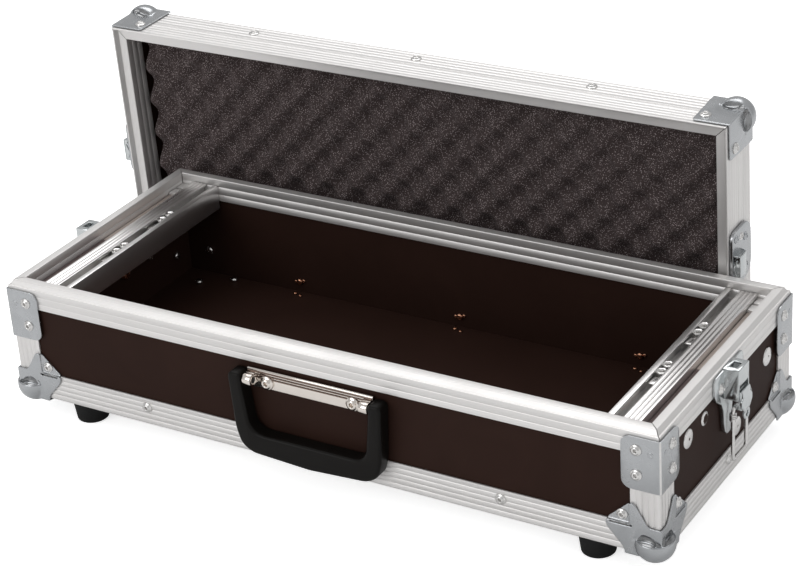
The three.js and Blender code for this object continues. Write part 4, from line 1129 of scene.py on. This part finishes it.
def tube(points, radius, around=12):
    """A round wire along the points, closed at both ends."""
    curve = bpy.data.curves.new("wire", "CURVE")
    curve.dimensions = "3D"
    curve.bevel_depth, curve.bevel_resolution, curve.use_fill_caps = radius, around // 4, True
    spline = curve.splines.new("POLY")
    spline.points.add(len(points) - 1)
    for point, place in zip(spline.points, points):
        point.co = (*place, 1)
    holder = linked(bpy.data.objects.new("wire", curve))
    graph = bpy.context.evaluated_depsgraph_get()
    made = bpy.data.meshes.new_from_object(holder.evaluated_get(graph))
    bpy.data.objects.remove(holder)
    bpy.data.curves.remove(curve)
    bm = bmesh.new()
    bm.from_mesh(made)
    bmesh.ops.remove_doubles(bm, verts=bm.verts, dist=0.001)
    return mesh_from(bm)


def lever_mesh():
    wings = eased([(-6.8, 3, 1.5), (6.8, 3, 1.5), (6.8, -2.6, 0.8), (8.75, -4.7, 0.8), (8.75, -9, 1),
                   (4.6, -13.5, 1.2), (-4.6, -13.5, 1.2), (-8.75, -9, 1), (-8.75, -4.7, 0.8),
                   (-6.8, -2.6, 0.8)], 4)
    face = plate(wings, LEVER_THICK, Y, Z, Vector((LEVER_OUT, 0, 0)))
    for v in face.vertices:
        if v.co.x > LEVER_OUT + LEVER_THICK / 2:
            v.co.x -= LEVER_SLOPE * max(0, v.co.z)
    cheek = eased([(-3, -12.2, 2.5), (4.4, -12.2, 0.5), (4.4, 2.2, 1), (0, 2.2, 2), (-2.2, 1.2, 1.5)], 5)
    cheeks = [softened(plate(cheek, 1.3, X, Z, Vector((0, low + 1.3, 0))), 0.3) for low in (-7, 5.7)]
    turns = [k * math.pi / 16 for k in range(33)]
    ring = tube([(4.9, 3.6 * math.sin(t), -16.5 - 3.6 * math.cos(t)) for t in turns], RING_WIRE)
    pin = [(0, -PIN_HALF), (1.5, -PIN_HALF), (1.5, PIN_HALF), (0, PIN_HALF)]
    pin = lathe(pin, 16, Matrix.Rotation(math.pi / 2, 4, "X"))
    neck = plate(eased([(-2.4, -12.5), (2.4, -12.5), (1.8, -14.4, 0.8), (-1.8, -14.4, 0.8)], 3), 1.8, Y, Z,
                 Vector((4.1, 0, 0)))
    return together(softened(face, 0.55, 3, 40), *cheeks, ring, pin, softened(neck, 0.2))


def bail_mesh():
    reach, drop, bend = 11.5, 41, 3.2
    corners = [(-reach, 0), (-reach, -drop), (reach, -drop), (reach, 0)]
    path = eased([(-5.2, 0, 0), *[(y, z, bend) for y, z in corners], (5.2, 0, 0)], 8)
    wire = tube([(0, y, z) for y, z in path], BAIL_WIRE, 16)
    coil = []
    for k in range(COIL_POINTS):
        turn = k * 2 * math.pi / COIL_AROUND
        across, along = COIL_RADIUS * math.cos(turn), COIL_RADIUS * math.sin(turn)
        coil.append((across, -reach + along, COIL_TOP - k * COIL_STEP))
    return together(wire, tube(coil, COIL_WIRE))


def pin_head_mesh():
    profile = [(0, -0.6), (2.4, -0.6), (2.4, 0.1), (2.1, 0.4), (1.5, 0.45), (1.2, 0.1), (0.9, 0.15),
               (0, 0.4)]
    heads = []
    for side in (-1, 1):
        facing = (Y * side).to_track_quat("Z", "X").to_matrix().to_4x4()
        place = Matrix.Translation((PIN_OUT, side * PIN_HEAD_AT, PIN_Z))
        heads.append(lathe(profile, 24, place @ facing))
    return together(*heads)


def keeper_meshes():
    """The seat, and the pocket whose mouth faces the lip with a bent claw across it."""
    tall, wide, out, wall, half = 36, 23, 8.4, 1.2, 9.4
    outline = eased([(-wide, 1.8, 7), (wide, 1.8, 7), (wide, tall, 14), (-wide, tall, 14)], 6)
    seat = [softened(plate(outline, 2.6, Y, Z, Vector((0.4, 0, 0))), 0.5, 3, 40)]
    turn = X.to_track_quat("Z", "Y").to_matrix().to_4x4()
    for y, z in ((-17, 8), (17, 8), (-11.5, 25), (11.5, 25)):
        seat.append(lathe([(r * 3.2, h * 3.2) for r, h in HEAD_PROFILE], 24,
                          Matrix.Translation((3, y, z)) @ turn))
    side = eased([(0.5, 3), (out, 3, 0.4), (out, 14.6, 2.5), (2, 17, 0.5), (0.5, 17)], 5)
    walls = [plate(side, wall, X, Z, Vector((0, low + wall, 0))) for low in (-half, half - wall)]
    face = box_mesh((out - wall, -half, 3), (out, half, 14.2))
    back = box_mesh((0.5, -half, 14), (out - 1.2, half, 15.3))
    claw = plate([(1.4, 1), (4.9, -8.2), (out - 0.2, -8.8), (out - 0.2, 8.8), (1.4, 8.2)], wall, X, Y,
                 Vector((0, 0, 3.2)))
    ridge = plate([(2.4, 1.6), (5.2, -5.6), (6.2, -5.6), (4, 1.6), (6, 7), (4.8, 7)], 1.6, X, Y,
                  Vector((0, 0, 2.2)))
    pocket = together(*(softened(mesh, 0.35, 3, 40) for mesh in (*walls, face, back, claw, ridge)))
    pocket.transform(Matrix.Translation((0, POCKET_ALONG, 0)))
    return together(*seat), pocket


def make_latches():
    keeper_seat, keeper_pocket = keeper_meshes()
    lever, bail, heads = lever_mesh(), bail_mesh(), pin_head_mesh()
    for side, name in ((-1, "left"), (1, "right")):
        end = Matrix.Translation((side * HALF_X, LATCH_Y, 0)) @ Matrix.Diagonal((side, 1, 1, 1))
        base = softened(tidy_copy("latch_base_" + name), 0.3, 2, 40)
        piece(base, "latch_plate_" + name, "latch", "tray", hides=["latch_base_" + name], sharp=40)
        piece(heads, "pin_heads_" + name, "rivet", "tray", end, sharp=50)
        pin = end @ Matrix.Translation((PIN_OUT, 0, PIN_Z))
        piece(lever, "lever_shape_" + name, "latch", "lever_" + name, pin,
              ["latch_lever_" + name], sharp=45)
        hook = pin @ Matrix.Translation((0, 0, -HOOK_DROP))
        piece(bail, "bail_wire_" + name, "rivet", "bail_" + name, hook,
              ["latch_bail_" + name], sharp=60)
        piece(keeper_seat, "keeper_seat_" + name, "zinc", "lid", LID @ end,
              ["keeper_" + name], sharp=40)
        piece(keeper_pocket, "keeper_pocket_" + name, "latch", "lid", LID @ end, sharp=40)
    print("latches: lever", len(lever.polygons), "and bail", len(bail.polygons), "faces")


make_latches()

# %% [markdown]
# Inside, the rack rails carry hexagonal captive nuts in their slots, with a sunken plated block beside
# each pair that is a painted reflection of the nuts in the channel wall. Two short aluminium blocks pad
# each rail at the back, and the brown packing behind each rail is one dark length and one paler length:
# both carry painted light against the shade under the rail, the far one much more. The blind rivets that
# hold the outside hardware show their tails on the plywood: silver where they hold the end hardware, and
# copper-coloured along the back.

# %% Rails, nuts and rivet tails
RAIL_IN, RAIL_TOP, SLOT_U = 224.2, 89.7, 7.95
NUT_PAIRS, NUT_STEP, NUT_SUNK = (-26, 35), 10.5, 1.2
PAD_STARTS = (81.6, 92.8)
INNER_X, INNER_Y, FLOOR_TOP = 261.7, 104.2, 6.5
PACKER_JOINT, PACKER_GAP = -8, 0.2


def nut_mesh():
    """A hexagonal nut that lies in the slot, with a blind hole."""
    profile = [
        (0, -6), (2.3, -6), (2.3, -1), (2.7, -0.4), (3.6, 0), (4.3, -0.15), (4.8, -0.7), (4.8, -6.5),
        (0, -6.5),
    ]
    return lathe(profile, 6, Matrix.Rotation(math.pi / 6, 4, "Z"))


def make_rails():
    nut = nut_mesh()
    # A sunken plated block beside each pair of nuts stands for the nuts' reflection in the channel wall: a
    # painted reflection.
    nut_reflection = softened(box_mesh((-3.4, -17, -3), (3.4, -7, -1.6)), 0.4)
    pad = softened(box_mesh((249.1, 0, 68), (259.5, 9, 86.4)), 0.6)
    nuts = placed_copies(*(
        (mesh, Matrix.Translation((RAIL_IN + SLOT_U, y + step, RAIL_TOP - NUT_SUNK)))
        for y in NUT_PAIRS for mesh, step in ((nut, 0), (nut, NUT_STEP), (nut_reflection, 0))))
    pads = placed_copies(*((pad, Matrix.Translation((0, y, 0))) for y in PAD_STARTS))
    for side, name in ((-1, "left"), (1, "right")):
        rail = softened(tidy_copy("rack_rail_" + name), 0.25, 2, 40)
        piece(rail, "rail_shape_" + name, "rail", "tray", hides=["rack_rail_" + name],
              sharp=40)
        low, high = (Vector(corner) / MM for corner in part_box("rail_packer_" + name))
        near = softened(box_mesh(low, (high.x, PACKER_JOINT, high.z)), 0.5)
        far = softened(box_mesh((low.x, PACKER_JOINT + PACKER_GAP, low.z), high), 0.5)
        # The far length's paler finish is painted light; the near length is lightened less.
        piece(near, "packer_near_" + name, "packing", "tray", hides=["rail_packer_" + name])
        piece(far, "packer_far_" + name, "painted_light_packing", "tray")
        flip = Matrix.Diagonal((side, 1, 1, 1))
        piece(nuts, "captive_nuts_" + name, "rivet", "tray", flip)
        piece(pads, "rail_pads_" + name, "aluminium_y", "tray", flip)


def make_tails():
    silver = [((-INNER_X, y, z), X, 3.6) for y, z in ((48.6, 42.8), (74.7, 55.8), (83.2, 27.3))]
    silver += [((x, INNER_Y, z), -Y, 3.6) for x, z in ((-240, 27.6), (-252, 63.6))]
    silver += [((x, y, FLOOR_TOP), Z, 3.4) for x, y in ((-239, 81.8), (-214, 97))]
    copper = [((-INNER_X, 13.5, 43), X, 4.6)]
    for x in (-152, -2, 154):
        copper += [((x, INNER_Y, 16), -Y, 2.6), ((x - 4, INNER_Y, 15.2), -Y, 1.5),
                   ((x + 3.6, INNER_Y, 17), -Y, 1.4)]
        copper += [((x - 2, 98, FLOOR_TOP), Z, 1.7), ((x + 4, 96, FLOOR_TOP), Z, 1.3)]
    rivets("silver_tails", silver, TAIL, "rivet", "tray")
    rivets("copper_tails", copper, TAIL, "copper", "tray")


make_rails()
make_tails()

# %% [markdown]
# The four feet are turned rubber: wider at the top, rounded at the foot, with a shallow hollow that
# hides the head of the screw.

# %% Feet
FOOT_X, FOOT_Y = 216.5, 97.5


def make_feet():
    profile = [(0, 1.6), (3.2, 1.6), (3.9, 1.2), (3.9, 0.8), (7.2, 0.8), (7.8, 0.25), (8.4, 0.02),
               (10.6, 0), (11.5, 0.15), (12.1, 0.6), (12.35, 1.3), (14.0, 15), (14.15, 16.0),
               (13.8, 16.4), (0, 16.4)]
    foot = lathe(profile, 48)
    for name, (cx, cy) in CORNERS.items():
        place = Matrix.Translation((cx * FOOT_X, cy * FOOT_Y, FLOOR))
        piece(foot, "foot_turned_" + name, "rubber", "tray", place, ["foot_" + name], sharp=50)
    print("feet:", len(foot.polygons), "faces each")


make_feet()
